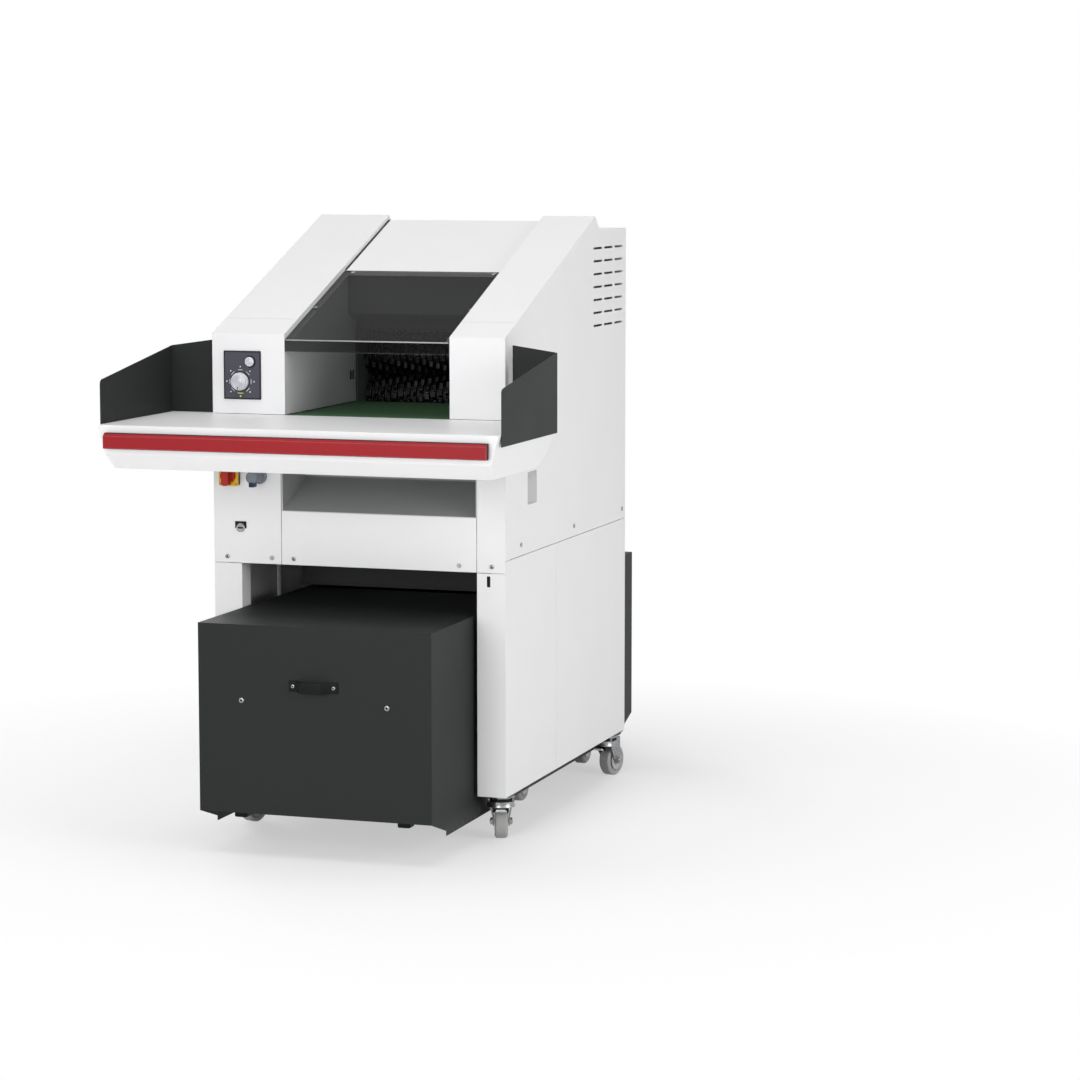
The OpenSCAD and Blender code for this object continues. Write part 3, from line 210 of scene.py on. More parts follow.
def make_floor():
    mesh = bpy.data.meshes.new("floor")
    bm = bmesh.new()
    bmesh.ops.create_circle(bm, cap_ends=True, segments=96, radius=FLOOR_RADIUS)
    bm.to_mesh(mesh)
    bm.free()
    floor = bpy.data.objects.new("floor", mesh)
    bpy.context.collection.objects.link(floor)
    finish = bpy.data.materials.new("studio_floor")
    finish.use_nodes = True
    tree = finish.node_tree
    shader = tree.nodes["Principled BSDF"]
    shader.inputs["Base Color"].default_value = (0.94, 0.94, 0.94, 1)
    shader.inputs["Roughness"].default_value = 0.8
    white = tree.nodes.new("ShaderNodeEmission")
    white.inputs["Color"].default_value = (1, 1, 1, 1)
    reach = tree.nodes.new("ShaderNodeVectorMath")
    reach.operation = "LENGTH"
    feed(tree, reach.inputs[0], tree.nodes.new("ShaderNodeTexCoord").outputs["Object"])
    fade = range_node(tree, reach.outputs["Value"], SHADOW_RADIUS, FADE_RADIUS, SHADOW_EASE, 1.0)
    amount = math_node(tree, "MULTIPLY", seen_rays(tree), fade)
    mix = tree.nodes.new("ShaderNodeMixShader")
    for socket, value in zip(mix.inputs, (amount, shader.outputs["BSDF"], white.outputs["Emission"])):
        feed(tree, socket, value)
    feed(tree, tree.nodes["Material Output"].inputs["Surface"], mix.outputs["Shader"])
    mesh.materials.append(finish)


make_floor()
print("floor fades to white between", SHADOW_RADIUS, "and", FADE_RADIUS, "m")

# %% World and lamps
WORLD_LIGHT = 0.30


def make_world():
    world = bpy.data.worlds.new("studio")
    bpy.context.scene.world = world
    world.use_nodes = True
    tree = world.node_tree
    tree.nodes.clear()
    mix = tree.nodes.new("ShaderNodeMixShader")
    feed(tree, mix.inputs[0], seen_rays(tree))
    for socket, strength in zip(mix.inputs[1:], (WORLD_LIGHT, 1.0)):
        shade = tree.nodes.new("ShaderNodeBackground")
        shade.inputs["Color"].default_value = (1, 1, 1, 1)
        shade.inputs["Strength"].default_value = strength
        feed(tree, socket, shade.outputs[0])
    out = tree.nodes.new("ShaderNodeOutputWorld")
    feed(tree, out.inputs["Surface"], mix.outputs[0])


def make_lamp(name, place, aim, size, watts):
    data = bpy.data.lights.new(name, "AREA")
    data.shape = "DISK"
    data.size = size
    data.energy = watts
    lamp = bpy.data.objects.new(name, data)
    bpy.context.collection.objects.link(lamp)
    lamp.location = place
    lamp.rotation_euler = (Vector(aim) - Vector(place)).to_track_quat("-Z", "Y").to_euler()


make_world()
make_lamp("front_softbox", (-0.3, -6.0, 1.9), (0, -0.3, 0.9), 3.2, 140)
make_lamp("right_softbox", (5.0, -2.0, 1.9), (0.2, 0.1, 0.8), 3.0, 104)
make_lamp("top_softbox", (0.2, -1.6, 5.4), (0, -0.1, 1.2), 4.0, 100)
make_lamp("rear_softbox", (-4.4, 4.4, 2.4), (0, 0.1, 0.8), 3.4, 130)
print("world light", WORLD_LIGHT, "and four softboxes")

# %% [markdown]
# ## Shared effects
# Several finishes need the same ingredients: the fine peel of powder coat, patches left by
# handling, a painted highlight along edges and dust near the floor. Each is a node group with
# named sockets, built once. The groups only put out colours, values and normals; each material
# keeps its own shader.

# %% Group helpers
def new_group(name, inputs, outputs):
    group = bpy.data.node_groups.new(name, "ShaderNodeTree")
    for socket, value in inputs.items():
        kind = {3: "Vector", 4: "Color"}[len(value)] if isinstance(value, tuple) else "Float"
        made = group.interface.new_socket(socket, in_out="INPUT", socket_type="NodeSocket" + kind)
        made.default_value = value
    for socket, kind in outputs.items():
        group.interface.new_socket(socket, in_out="OUTPUT", socket_type="NodeSocket" + kind)
    start = group.nodes.new("NodeGroupInput")
    end = group.nodes.new("NodeGroupOutput")
    return group, start.outputs, end.inputs


def tinted(group, colour, value):
    tint = group.nodes.new("ShaderNodeCombineColor")
    for channel in tint.inputs[:3]:
        feed(group, channel, value)
    return mix_colour(group, 1.0, colour, tint.outputs["Color"], "MULTIPLY")


# %% Powder coat, handling, painted edge highlights and dust
def powder_peel_group():
    group, given, out = new_group("powder_peel", {"Grain": 700.0}, {"Height": "Float"})
    feed(group, out["Height"], noise_at(group, given["Grain"], 2.0))
    return group


def handled_group():
    group, given, out = new_group(
        "handled_surface",
        {"Color": (0.8, 0.8, 0.8, 1), "Shade": 0.04, "Roughness": 0.4, "Spread": 0.08, "Patch": 5.0},
        {"Color": "Color", "Roughness": "Float"})
    patches = noise_at(group, given["Patch"], 4.0)
    swing = range_node(group, patches, 0.0, 1.0, -1.0, 1.0)
    value = math_node(group, "ADD", math_node(group, "MULTIPLY", swing, given["Shade"]), 1.0)
    feed(group, out["Color"], tinted(group, given["Color"], value))
    spread = math_node(group, "MULTIPLY", swing, given["Spread"])
    feed(group, out["Roughness"], math_node(group, "ADD", given["Roughness"], spread))
    return group


# Rounded edges are mixed towards a lighter colour as a painted highlight; the bevel normal that goes out with
# it is real rounding.
def edge_highlight_group():
    group, given, out = new_group(
        "folded_edge",
        {"Color": (0.8, 0.8, 0.8, 1), "Edge Color": (1, 1, 1, 1), "Amount": 0.5, "Radius": 1.5 * MM},
        {"Color": "Color", "Normal": "Vector"})
    bevel = group.nodes.new("ShaderNodeBevel")
    bevel.samples = 4
    feed(group, bevel.inputs["Radius"], given["Radius"])
    plain = group.nodes.new("ShaderNodeNewGeometry")
    dot = group.nodes.new("ShaderNodeVectorMath")
    dot.operation = "DOT_PRODUCT"
    feed(group, dot.inputs[0], bevel.outputs["Normal"])
    feed(group, dot.inputs[1], plain.outputs["Normal"])
    turn = range_node(group, dot.outputs["Value"], 0.999, 0.85, 0.0, 1.0)
    mask = math_node(group, "MULTIPLY", turn, given["Amount"])
    feed(group, out["Color"], mix_colour(group, mask, given["Color"], given["Edge Color"]))
    feed(group, out["Normal"], bevel.outputs["Normal"])
    return group


def floor_dust_group():
    group, given, out = new_group(
        "floor_dust",
        {"Color": (0.5, 0.5, 0.5, 1), "Dust Color": (0.42, 0.40, 0.37, 1), "Reach": 0.12, "Amount": 0.3},
        {"Color": "Color"})
    near = range_node(group, position(group, "Z"), 0.0, given["Reach"], 1.0, 0.0)
    spots = range_node(group, noise_at(group, 60.0, 5.0), 0.35, 0.7, 0.2, 1.0)
    mask = math_node(group, "MULTIPLY", math_node(group, "MULTIPLY", near, spots), given["Amount"])
    feed(group, out["Color"], mix_colour(group, mask, given["Color"], given["Dust Color"]))
    return group


def drawn_metal_group():
    group, given, out = new_group(
        "drawn_metal",
        {"Color": (0.6, 0.6, 0.6, 1), "Stretch": (1, 1, 1), "Grain": 300.0, "Roughness": 0.3, "Spread": 0.15},
        {"Color": "Color", "Roughness": "Float", "Height": "Float"})
    lines = noise_at(group, given["Grain"], 3.0, given["Stretch"])
    value = range_node(group, lines, 0.3, 0.7, 0.76, 1.1)
    feed(group, out["Color"], tinted(group, given["Color"], value))
    swing = math_node(group, "MULTIPLY", math_node(group, "SUBTRACT", lines, 0.5), given["Spread"])
    feed(group, out["Roughness"], math_node(group, "ADD", given["Roughness"], swing))
    feed(group, out["Height"], lines)
    return group


POWDER_PEEL = powder_peel_group()
HANDLED = handled_group()
EDGE_HIGHLIGHT = edge_highlight_group()
FLOOR_DUST = floor_dust_group()
DRAWN_METAL = drawn_metal_group()
print("effects:", [g.name for g in bpy.data.node_groups])


# %% Material helpers
def new_finish(name, **values):
    finish = bpy.data.materials.new(name)
    finish.use_nodes = True
    shader = finish.node_tree.nodes["Principled BSDF"]
    for socket, value in values.items():
        shader.inputs[socket.replace("_", " ").title().replace("Ior", "IOR")].default_value = value
    return finish, shader


def use_group(finish, group, **values):
    node = finish.node_tree.nodes.new("ShaderNodeGroup")
    node.node_tree = group
    for socket, value in values.items():
        node.inputs[socket.replace("_", " ").title()].default_value = value
    return node


def bump(finish, height, strength, distance, normal):
    tree = finish.node_tree
    node = tree.nodes.new("ShaderNodeBump")
    names = ("Height", "Strength", "Distance", "Normal")
    for name, value in zip(names, (height, strength, distance, normal)):
        feed(tree, node.inputs[name], value)
    return node.outputs["Normal"]


def dress(finish, shader, colour, roughness, normal):
    for name, value in (("Base Color", colour), ("Roughness", roughness), ("Normal", normal)):
        feed(finish.node_tree, shader.inputs[name], value)


def rgb(red, green, blue):
    def linear(value):
        value = value / 255
        return value / 12.92 if value <= 0.04045 else ((value + 0.055) / 1.055) ** 2.4
    return (linear(red), linear(green), linear(blue), 1.0)


# %% [markdown]
# ## Painted sheet metal
# The covers are folded sheet with a satin powder coat. Up close the coat has a fine peel, its
# gloss changes a little where hands and tools have been, and its folds are round and take a
# painted highlight. One function makes all painted finishes, with the colour, gloss and peel of
# each; on the chute panel it also paints the recess behind the front a darker grey as painted
# shade.

# %% Painted finishes
def painted(name, colour, edge, roughness, grain, peel, highlight_amount=0.5, dust=0.0, radius=1.5 * MM,
            gloss=0.35, recess_painted_shade=None, spread=0.06, patch=5.0, relief=0.2 * MM):
    finish, shader = new_finish(name, specular_ior_level=gloss)
    tree = finish.node_tree
    coat = use_group(finish, HANDLED, color=colour, shade=0.03, roughness=roughness, spread=spread,
                     patch=patch)
    # The folds are mixed towards the edge colour as a painted highlight.
    fold = use_group(finish, EDGE_HIGHLIGHT, edge_color=edge, amount=highlight_amount, radius=radius)
    grit = use_group(finish, POWDER_PEEL, grain=grain)
    surface = coat.outputs["Color"]
    # Faces deeper than the given Y take a darker grey: painted shade in the recess.
    if recess_painted_shade:
        depth, painted_shade_colour = recess_painted_shade
        painted_shade_mask = range_node(tree, position(tree, "Y"), depth, depth + 2 * MM, 0.0, 1.0)
        surface = mix_colour(tree, painted_shade_mask, surface, painted_shade_colour)
    feed(tree, fold.inputs["Color"], surface)
    surface = fold.outputs["Color"]
    if dust:
        dirt = use_group(finish, FLOOR_DUST, amount=dust)
        feed(tree, dirt.inputs["Color"], surface)
        surface = dirt.outputs["Color"]
    normal = bump(finish, grit.outputs["Height"], peel, relief, fold.outputs["Normal"])
    dress(finish, shader, surface, coat.outputs["Roughness"], normal)
    return finish


CASING = painted("casing_white", rgb(233, 233, 234), rgb(248, 248, 248), 0.42, 900.0, 0.25)
WALL_GREY = painted("wall_grey", rgb(216, 217, 218), rgb(230, 230, 230), 0.45, 900.0, 0.25)
FRAME_GREY = painted("frame_grey", rgb(176, 177, 178), rgb(206, 206, 206), 0.5, 800.0, 0.3)
ANTHRACITE = painted("anthracite", rgb(40, 42, 42), rgb(70, 72, 72), 0.55, 520.0, 0.5, dust=0.2, gloss=0.12)
# The bar's bevel takes a wide pink painted highlight.
SIGNAL_RED = painted("signal_red", rgb(148, 34, 40), rgb(204, 106, 112), 0.4, 900.0, 0.2, 0.8,
                     radius=3.0 * MM, gloss=0.12)
DARK_GREY = painted("dark_grey", rgb(112, 113, 113), rgb(130, 130, 130), 0.5, 1600.0, 0.05, gloss=0.2)
PLATE_GREY = painted("plate_grey", rgb(128, 130, 134), rgb(160, 160, 162), 0.45, 700.0, 0.3)
DRIVE_BLUE = painted("drive_blue", rgb(84, 104, 122), rgb(120, 138, 152), 0.35, 400.0, 0.4)
BLACK_METAL = painted("black_metal", rgb(34, 34, 36), rgb(74, 74, 76), 0.4, 600.0, 0.3)
# The chute panel's recess is painted a darker grey as painted shade.
CHUTE = painted("chute_sheet", rgb(233, 233, 234), rgb(248, 248, 248), 0.42, 900.0, 0.25,
                recess_painted_shade=(front_y + 3 * MM, rgb(150, 151, 151)))
print("painted finishes made")


# %% [markdown]
# ## Metals, plastics, rubber and the screen
# Zinc plate is bright with a faint crystalline patchwork; ground steel shows lines along the way
# it was turned. The plastics are moulded with a fine grain. The screen is smoked acrylic: it lets
# part of the light through, so it takes a see-through share and a hard gloss.

# %% Other finishes
def bare_metal(name, colour, roughness, stretch, grain, spread=0.15, highlight_share=0.4):
    finish, shader = new_finish(name, metallic=1.0)
    lines = use_group(finish, DRAWN_METAL, color=colour, stretch=stretch, grain=grain, roughness=roughness,
                      spread=spread)
    # Bright edges are a painted highlight on top of the real rounding.
    fold = use_group(finish, EDGE_HIGHLIGHT, edge_color=rgb(236, 236, 236), amount=highlight_share, radius=0.8 * MM)
    feed(finish.node_tree, fold.inputs["Color"], lines.outputs["Color"])
    normal = bump(finish, lines.outputs["Height"], 0.12, 0.05 * MM, fold.outputs["Normal"])
    dress(finish, shader, fold.outputs["Color"], lines.outputs["Roughness"], normal)
    return finish


def moulded(name, colour, roughness, grain=1400.0, grit=0.2, dust=0.0, gloss=0.3):
    # Edges are painted lighter than the colour, as a painted highlight.
    edge = tuple(min(1, c * 1.5 + 0.02) for c in colour[:3]) + (1,)
    return painted(name, colour, edge, roughness, grain, grit, dust=dust, radius=0.8 * MM, gloss=gloss,
                   spread=0.08, patch=30.0, relief=0.1 * MM)


def smoked_screen():
    finish, shader = new_finish("smoked_acrylic", specular_ior_level=0.05, alpha=0.46)
    tone = use_group(finish, HANDLED, color=rgb(24, 24, 25), shade=0.05, roughness=0.06, spread=0.05,
                     patch=9.0)
    # The light grey edge of the lip is a painted highlight.
    fold = use_group(finish, EDGE_HIGHLIGHT, edge_color=rgb(176, 178, 179), amount=0.85, radius=2.5 * MM)
    feed(finish.node_tree, fold.inputs["Color"], tone.outputs["Color"])
    dress(finish, shader, fold.outputs["Color"], tone.outputs["Roughness"], fold.outputs["Normal"])
    return finish


ZINC = bare_metal("zinc", rgb(152, 153, 155), 0.3, (1, 1, 1), 160.0, 0.25)
STEEL = bare_metal("steel", rgb(84, 85, 87), 0.4, (0.02, 1, 1), 420.0)
# The cutting discs take a darker steel with a stronger painted highlight on their rims.
CUTTER = bare_metal("cutter_steel", rgb(46, 46, 48), 0.45, (0.02, 1, 1), 420.0, highlight_share=0.6)
KNOB_GREY = moulded("knob_grey", rgb(212, 213, 216), 0.35)
PANEL_FILM = moulded("panel_film", rgb(74, 75, 84), 0.45, gloss=0.15)
INLET_GREY = moulded("inlet_grey", rgb(122, 128, 138), 0.4)
SWITCH_YELLOW = moulded("switch_yellow", rgb(226, 178, 34), 0.28)
SWITCH_RED = moulded("switch_red", rgb(170, 38, 26), 0.28)
BLACK_PLASTIC = moulded("black_plastic", rgb(18, 18, 18), 0.4, gloss=0.12)
TREAD_GREY = moulded("tread_grey", rgb(168, 169, 168), 0.6, 700.0, 0.5, dust=0.5)
BELT_GREEN = moulded("belt_green", rgb(58, 92, 62), 0.65, 650.0, 0.8)
SMOKED = smoked_screen()

finish_of_slot = {
    "casing_white": CASING, "frame_grey": FRAME_GREY, "wall_grey": WALL_GREY, "anthracite": ANTHRACITE,
    "signal_red": SIGNAL_RED, "drive_blue": DRIVE_BLUE, "plate_grey": PLATE_GREY, "dark_grey": DARK_GREY,
    "smoked_acrylic": SMOKED, "panel_film": PANEL_FILM, "knob_grey": KNOB_GREY, "inlet_grey": INLET_GREY,
    "switch_yellow": SWITCH_YELLOW, "switch_red": SWITCH_RED, "black_plastic": BLACK_PLASTIC,
    "black_metal": BLACK_METAL, "belt_green": BELT_GREEN, "zinc": ZINC, "steel": STEEL,
    "tread_grey": TREAD_GREY}
slot_of_node = {part["node"]: part["material_slot"] for part in frame["record"]["subparts"]}
finish_of_node = {"chute_panel": CHUTE, "upper_cutting_shaft": CUTTER, "lower_cutting_shaft": CUTTER}
for name, piece in nodes.items():
    piece.data.materials.clear()
    piece.data.materials.append(finish_of_node.get(name, finish_of_slot[slot_of_node[name]]))
print("finishes on", len(nodes), "pieces")

# %% [markdown]
# ## Small pieces
# Screws, the strap handle and the printed dial are too fine for the CAD solids, so they are
# modelled here. Most of them are lofts: a list of rings with the same number of points, joined
# row by row. A helper turns such a mesh into a piece that rides on a body of the machine.

# %% Mesh helpers
FRONT = Vector((0, -1, 0))


def loft(bm, rings, cap_start=True, cap_end=True):
    rows = [[bm.verts.new(point) for point in ring] for ring in rings]
    count = len(rows[0])
    for first, second in zip(rows, rows[1:]):
        for i in range(count):
            j = (i + 1) % count
            bm.faces.new((first[i], first[j], second[j], second[i]))
    if cap_start:
        bm.faces.new(rows[0][::-1])
    if cap_end:
        bm.faces.new(rows[-1])


def circle(radius, height, count=32, sides=0):
    points = []
    for i in range(count):
        angle = 2 * math.pi * i / count
        reach = radius
        if sides:
            step = 2 * math.pi / sides
            reach = radius / math.cos((angle + step / 2) % step - step / 2)
        points.append(Vector((reach * math.cos(angle), reach * math.sin(angle), height)))
    return points


def spun(profile, count=64):
    return [circle(radius, height, count, *sides) for radius, height, *sides in profile]


def rounded_ring(width, height, corner, depth=0, steps=6):
    points = []
    for quarter, (sx, sz) in enumerate(((1, 1), (-1, 1), (-1, -1), (1, -1))):
        for step in range(steps + 1):
            angle = math.pi / 2 * (quarter + step / steps)
            points.append(Vector((sx * (width / 2 - corner) + corner * math.cos(angle),
                                  sz * (height / 2 - corner) + corner * math.sin(angle), depth)))
    return points


def upright_plate(bm, outline, front, back):
    near = [bm.verts.new((x, front, z)) for x, z in outline]
    far = [bm.verts.new((x, back, z)) for x, z in outline]
    bm.faces.new(near)
    bm.faces.new(far[::-1])
    for i in range(len(outline)):
        j = (i + 1) % len(outline)
        bm.faces.new((near[j], near[i], far[i], far[j]))


def moved(rings, matrix):
    return [[matrix @ point for point in ring] for ring in rings]


def facing(place, direction=FRONT):
    turn = Vector(direction).to_track_quat("Z", "Y").to_matrix().to_4x4()
    return Matrix.Translation(place) @ turn


def add_piece(name, bm, finish, body, sharp=40):
    bmesh.ops.recalc_face_normals(bm, faces=bm.faces)
    mesh = bpy.data.meshes.new(name)
    bm.to_mesh(mesh)
    bm.free()
    for polygon in mesh.polygons:
        polygon.use_smooth = True
    mesh.set_sharp_from_angle(angle=math.radians(sharp))
    mesh.materials.append(finish)
    piece = bpy.data.objects.new(name, mesh)
    bpy.context.collection.objects.link(piece)
    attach(piece, body)
    return piece


def lofted(name, rings, finish, body, sharp=40, caps=True):
    bm = bmesh.new()
    loft(bm, rings, caps, caps)
    return add_piece(name, bm, finish, body, sharp)


# %% [markdown]
# ## Screws
# The CAD node of the cover screws holds plain discs. Each loose disc gives its place, and its
# largest flat side gives the way it faces; a domed head with a hexagon socket is lofted there.
# The two container bolts are made the same way.

# %% Socket screws
# A dark hexagon at the bottom of each socket is painted shade, and so is the dark patch over the latch's key
# slot.
SOCKET_PAINTED_SHADE = moulded("socket_shade", rgb(40, 40, 42), 0.6, gloss=0.1)


def loose_parts(node):
    bm = bmesh.new()
    bm.from_mesh(nodes[node].data)
    bmesh.ops.remove_doubles(bm, verts=bm.verts, dist=1e-6)
    left = dict.fromkeys(bm.faces)
    parts = []
    while left:
        heap = [left.popitem()[0]]
        part = []
        while heap:
            face = heap.pop()
            part.append(face)
            for edge in face.edges:
                for other in edge.link_faces:
                    if other in left:
                        del left[other]
                        heap.append(other)
        parts.append([(face.calc_area(), face.normal.copy(), face.calc_center_median()) for face in part])
    bm.free()
    return parts


def head_of(part):
    sides = {}
    for area, normal, centre in part:
        key = tuple(round(v, 2) for v in normal)
        total, weighted = sides.get(key, (0.0, Vector()))
        sides[key] = (total + area, weighted + centre * area)
    normal, (area, weighted) = max(sides.items(), key=lambda item: item[1][0])
    return weighted / area, Vector(normal).normalized(), math.sqrt(area / math.pi)


def screw_set(name, heads, body, height):
    sink = height * 0.7
    dome = [(1, -height), (1, -height * 0.7), (0.93, -height * 0.3), (0.74, -height * 0.05), (0.55, 0),
            (0.40, 0, 6), (0.38, -sink, 6), (0.05, -sink * 1.1)]
    floor = [(0.37, -sink, 6), (0.36, -sink * 0.8, 6)]
    tops, socket_shade_plugs = bmesh.new(), bmesh.new()
    for place, direction, radius in heads:
        for bm, profile in ((tops, dome), (socket_shade_plugs, floor)):
            rings = spun([(radius * share, *rest) for share, *rest in profile], 32)
            loft(bm, moved(rings, facing(place, direction)))
    add_piece(name + "_sockets", socket_shade_plugs, SOCKET_PAINTED_SHADE, body)
    print(name, len(heads), "screws")
    return add_piece(name, tops, ZINC, body)


def screw_heads(name, node, body, height):
    heads = [head_of(part) for part in loose_parts(node)]
    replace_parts(screw_set(name, heads, body, height), node)


screw_heads("cover_screw_heads", "cover_screws", "machine", 2.5 * MM)
screw_heads("container_bolt_heads", "container_bolts", "container_body", 4.0 * MM)

# %% [markdown]
# ## Dial print
# The control plate carries a printed ring of marks round the selector and a yellow mark for the
# rest position. Each mark is a thin inked patch just in front of the plate.

# %% Dial marks
PRINT_WHITE = moulded("print_white", rgb(206, 207, 212), 0.5)
PRINT_YELLOW = moulded("print_yellow", rgb(206, 206, 96), 0.5)
INK = 0.2 * MM
DIAL_STEPS = 8
dial_centre = middle("selector_knob")
plate_front = low("control_plate").y
knob_radius = half_width("selector_knob")
mark_reach = knob_radius + 6.5 * MM
sign_reach = knob_radius + 16 * MM


def flat_patch(bm, points):
    upright_plate(bm, points, plate_front - INK, plate_front)


def dial_point(angle, reach, across=0.0):
    x = dial_centre.x + reach * math.sin(angle) + across * math.cos(angle)
    z = dial_centre.z + reach * math.cos(angle) - across * math.sin(angle)
    return x, z


def tick(bm, angle, length, width):
    ends = [(mark_reach, -length / 2), (mark_reach, length / 2), (mark_reach + width, length / 2),
            (mark_reach + width, -length / 2)]
    flat_patch(bm, [dial_point(angle, reach, across) for reach, across in ends])


def sign(bm, angle, corners, size):
    x, z = dial_point(angle, sign_reach)
    turns = [2 * math.pi * i / corners for i in range(corners)]
    flat_patch(bm, [(x + size * math.sin(t), z + size * math.cos(t)) for t in turns])


white_marks = bmesh.new()
for step in range(DIAL_STEPS):
    angle = 2 * math.pi * step / DIAL_STEPS
    if step != DIAL_STEPS // 2:
        tick(white_marks, angle, 13 * MM, 1.6 * MM)
        sign(white_marks, angle, 3 if step in (0, 1) else 12, 3.2 * MM if step in (0, 1) else 2.2 * MM)
add_piece("dial_marks", white_marks, PRINT_WHITE, "machine")
rest_mark = bmesh.new()
tick(rest_mark, math.pi, 17 * MM, 2.4 * MM)
sign(rest_mark, math.pi, 16, 2.6 * MM)
add_piece("rest_mark", rest_mark, PRINT_YELLOW, "machine")
print("dial marks at", round(mark_reach / MM, 1), "mm")

# %% [markdown]
# ## Rim of the control plate
# A dark square-cornered rim frames the control plate. It is a loop of rounded rectangles, lofted
# from the outer foot over the top to the inner foot.

# %% Rim
RIM_BLUE = moulded("rim_blue", rgb(38, 38, 46), 0.4, gloss=0.15)
RIM = 3.2 * MM
RIM_UP = 0.7 * MM
plate_low, plate_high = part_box("control_plate")
plate_w, plate_h = plate_high.x - plate_low.x, plate_high.z - plate_low.z
plate_t = front_y - plate_low.y
rim = [rounded_ring(plate_w + grow, plate_h + grow, corner * MM, depth) for grow, corner, depth in (
    (0.6 * MM, 2.4, -plate_t), (0.6 * MM, 2.4, RIM_UP * 0.5), (-0.6 * MM, 2.0, RIM_UP),
    (-2 * RIM, 1.6, RIM_UP), (-2 * RIM - 1 * MM, 1.4, -0.1 * MM))]
rim_place = facing(centred_at("control_plate", plate_front))
lofted("control_rim", moved(rim, rim_place), RIM_BLUE, "machine", 30, False)
print("rim round the control plate", round(plate_w / MM), "x", round(plate_h / MM), "mm")

# %% [markdown]
# ## Turned faces
# The selector and the button are turned from aluminium, and fine rings catch the light on their
# fronts. A spun profile steps in and out by fractions of a millimetre, and darker hoops in the
# grooves are painted shade. A short dark pointer on the selector shows which mark it stands at.

# %% Knob and button faces
TURNED = bare_metal("turned_face", rgb(184, 184, 190), 0.34, (1, 1, 1), 900.0, 0.1)
# A darker copy of the turned face lies in the grooves as painted shade.
GROOVE_SHADE = bare_metal("groove", rgb(128, 128, 135), 0.4, (1, 1, 1), 900.0, 0.1)


def turned_face(name, node, share, grooves, relief):
    radius = half_width(node) * share
    place = facing(centred_at(node, low(node).y))
    profile = [(radius, -0.4 * MM)]
    groove_shade_rings = bmesh.new()
    for groove in range(grooves):
        outer = radius * (1 - groove / grooves)
        inner = radius * (1 - (groove + 0.7) / grooves)
        slim = radius * (1 - (groove + 0.98) / grooves)
        profile += [(outer, relief), (inner, relief), (inner * 0.985, 0)]
        if groove < grooves - 1:
            one_shade_ring = spun([(inner, 0.02 * MM), (inner * 0.98, relief * 0.6), (slim * 1.02, relief * 0.6),
                         (slim, 0.02 * MM)])
            loft(groove_shade_rings, moved(one_shade_ring, place), False, False)
    add_piece(name + "_hoops", groove_shade_rings, GROOVE_SHADE, node, 20)
    lofted(name, moved(spun(profile), place), TURNED, node, 20)
    print(name, grooves, "rings on a radius of", round(radius / MM, 1), "mm")


turned_face("selector_face", "selector_knob", 0.78, 7, 0.35 * MM)
turned_face("button_face", "start_button", 0.82, 4, 0.3 * MM)
pointer = [rounded_ring(2.2 * MM, 8 * MM, 0.8 * MM, 0.3 * MM),
           rounded_ring(1.8 * MM, 7.6 * MM, 0.7 * MM, 0.6 * MM)]
pointer_place = Vector((dial_centre.x, low("selector_knob").y, dial_centre.z - knob_radius * 0.74))
lofted("selector_pointer", moved(pointer, facing(pointer_place)), BLACK_PLASTIC, "selector_knob")

# %% Collars
def collar_round(name, node, gap, width, height):
    inner = half_width(node) + gap
    outer = inner + width
    edge = width * 0.25
    rings = spun([(outer, 0), (outer, height - edge), (outer - edge, height), (inner + edge, height),
                  (inner, height - edge), (inner, 0)])
    place = facing(centred_at(node, plate_front))
    lofted(name, moved(rings, place), BLACK_PLASTIC, "machine", caps=False)


collar_round("button_collar", "start_button", 0.6 * MM, 2.6 * MM, 2.2 * MM)
collar_round("selector_collar", "selector_knob", 0.6 * MM, 2.0 * MM, 1.2 * MM)
print("collars round the button and the selector")

# %% [markdown]
# ## Latch, switch and inlet
# The latch sits in a black surround shaped like an upturned U. The main switch has a screw in
# each corner of its yellow plate, and the power inlet a spun body with a dark clip under it.
# These are flat outlines with depth, or lofts of rounded rectangles.

# %% Latch surround
latch = middle("panel_latch")
latch_radius = (high("panel_latch").z - low("panel_latch").z) / 2
latch_x = high("panel_latch").x - latch_radius
hole = latch_radius + 0.8 * MM
surround = [(latch_x - hole - 4 * MM, latch.z - 2 * MM), (latch_x - hole - 4 * MM, latch.z + hole + 5 * MM),
            (latch_x + hole + 4 * MM, latch.z + hole + 5 * MM), (latch_x + hole + 4 * MM, latch.z - 2 * MM)]
for step in range(25):
    angle = math.pi * step / 24
    surround.append((latch_x + hole * math.cos(angle), latch.z + hole * math.sin(angle)))
bm = bmesh.new()
upright_plate(bm, surround, front_y - 1.6 * MM, front_y)
add_piece("latch_surround", bm, BLACK_PLASTIC, "machine")
print("latch surround round a head of", round(2 * latch_radius / MM, 1), "mm")

# The key slot is a dark patch on the latch: painted shade for the keyway.
key = [rounded_ring(15 * MM, 4.6 * MM, 2 * MM, 0.1 * MM),
       rounded_ring(14.6 * MM, 4.2 * MM, 1.9 * MM, 0.25 * MM)]
key_place = Vector((latch_x, low("panel_latch").y, latch.z))
lofted("latch_key_slot", moved(key, facing(key_place)), SOCKET_PAINTED_SHADE, "panel_latch")

# %% Switch screws and power inlet
switch = middle("switch_plate")
switch_half = half_width("switch_plate")
corners = [Vector((switch.x + sx * switch_half * 0.8, low("switch_plate").y - 0.9 * MM,
                   switch.z + sz * switch_half * 0.8)) for sx in (-1, 1) for sz in (-1, 1)]
screw_set("switch_screws", [(corner, FRONT, 3.2 * MM) for corner in corners], "machine", 1.0 * MM)

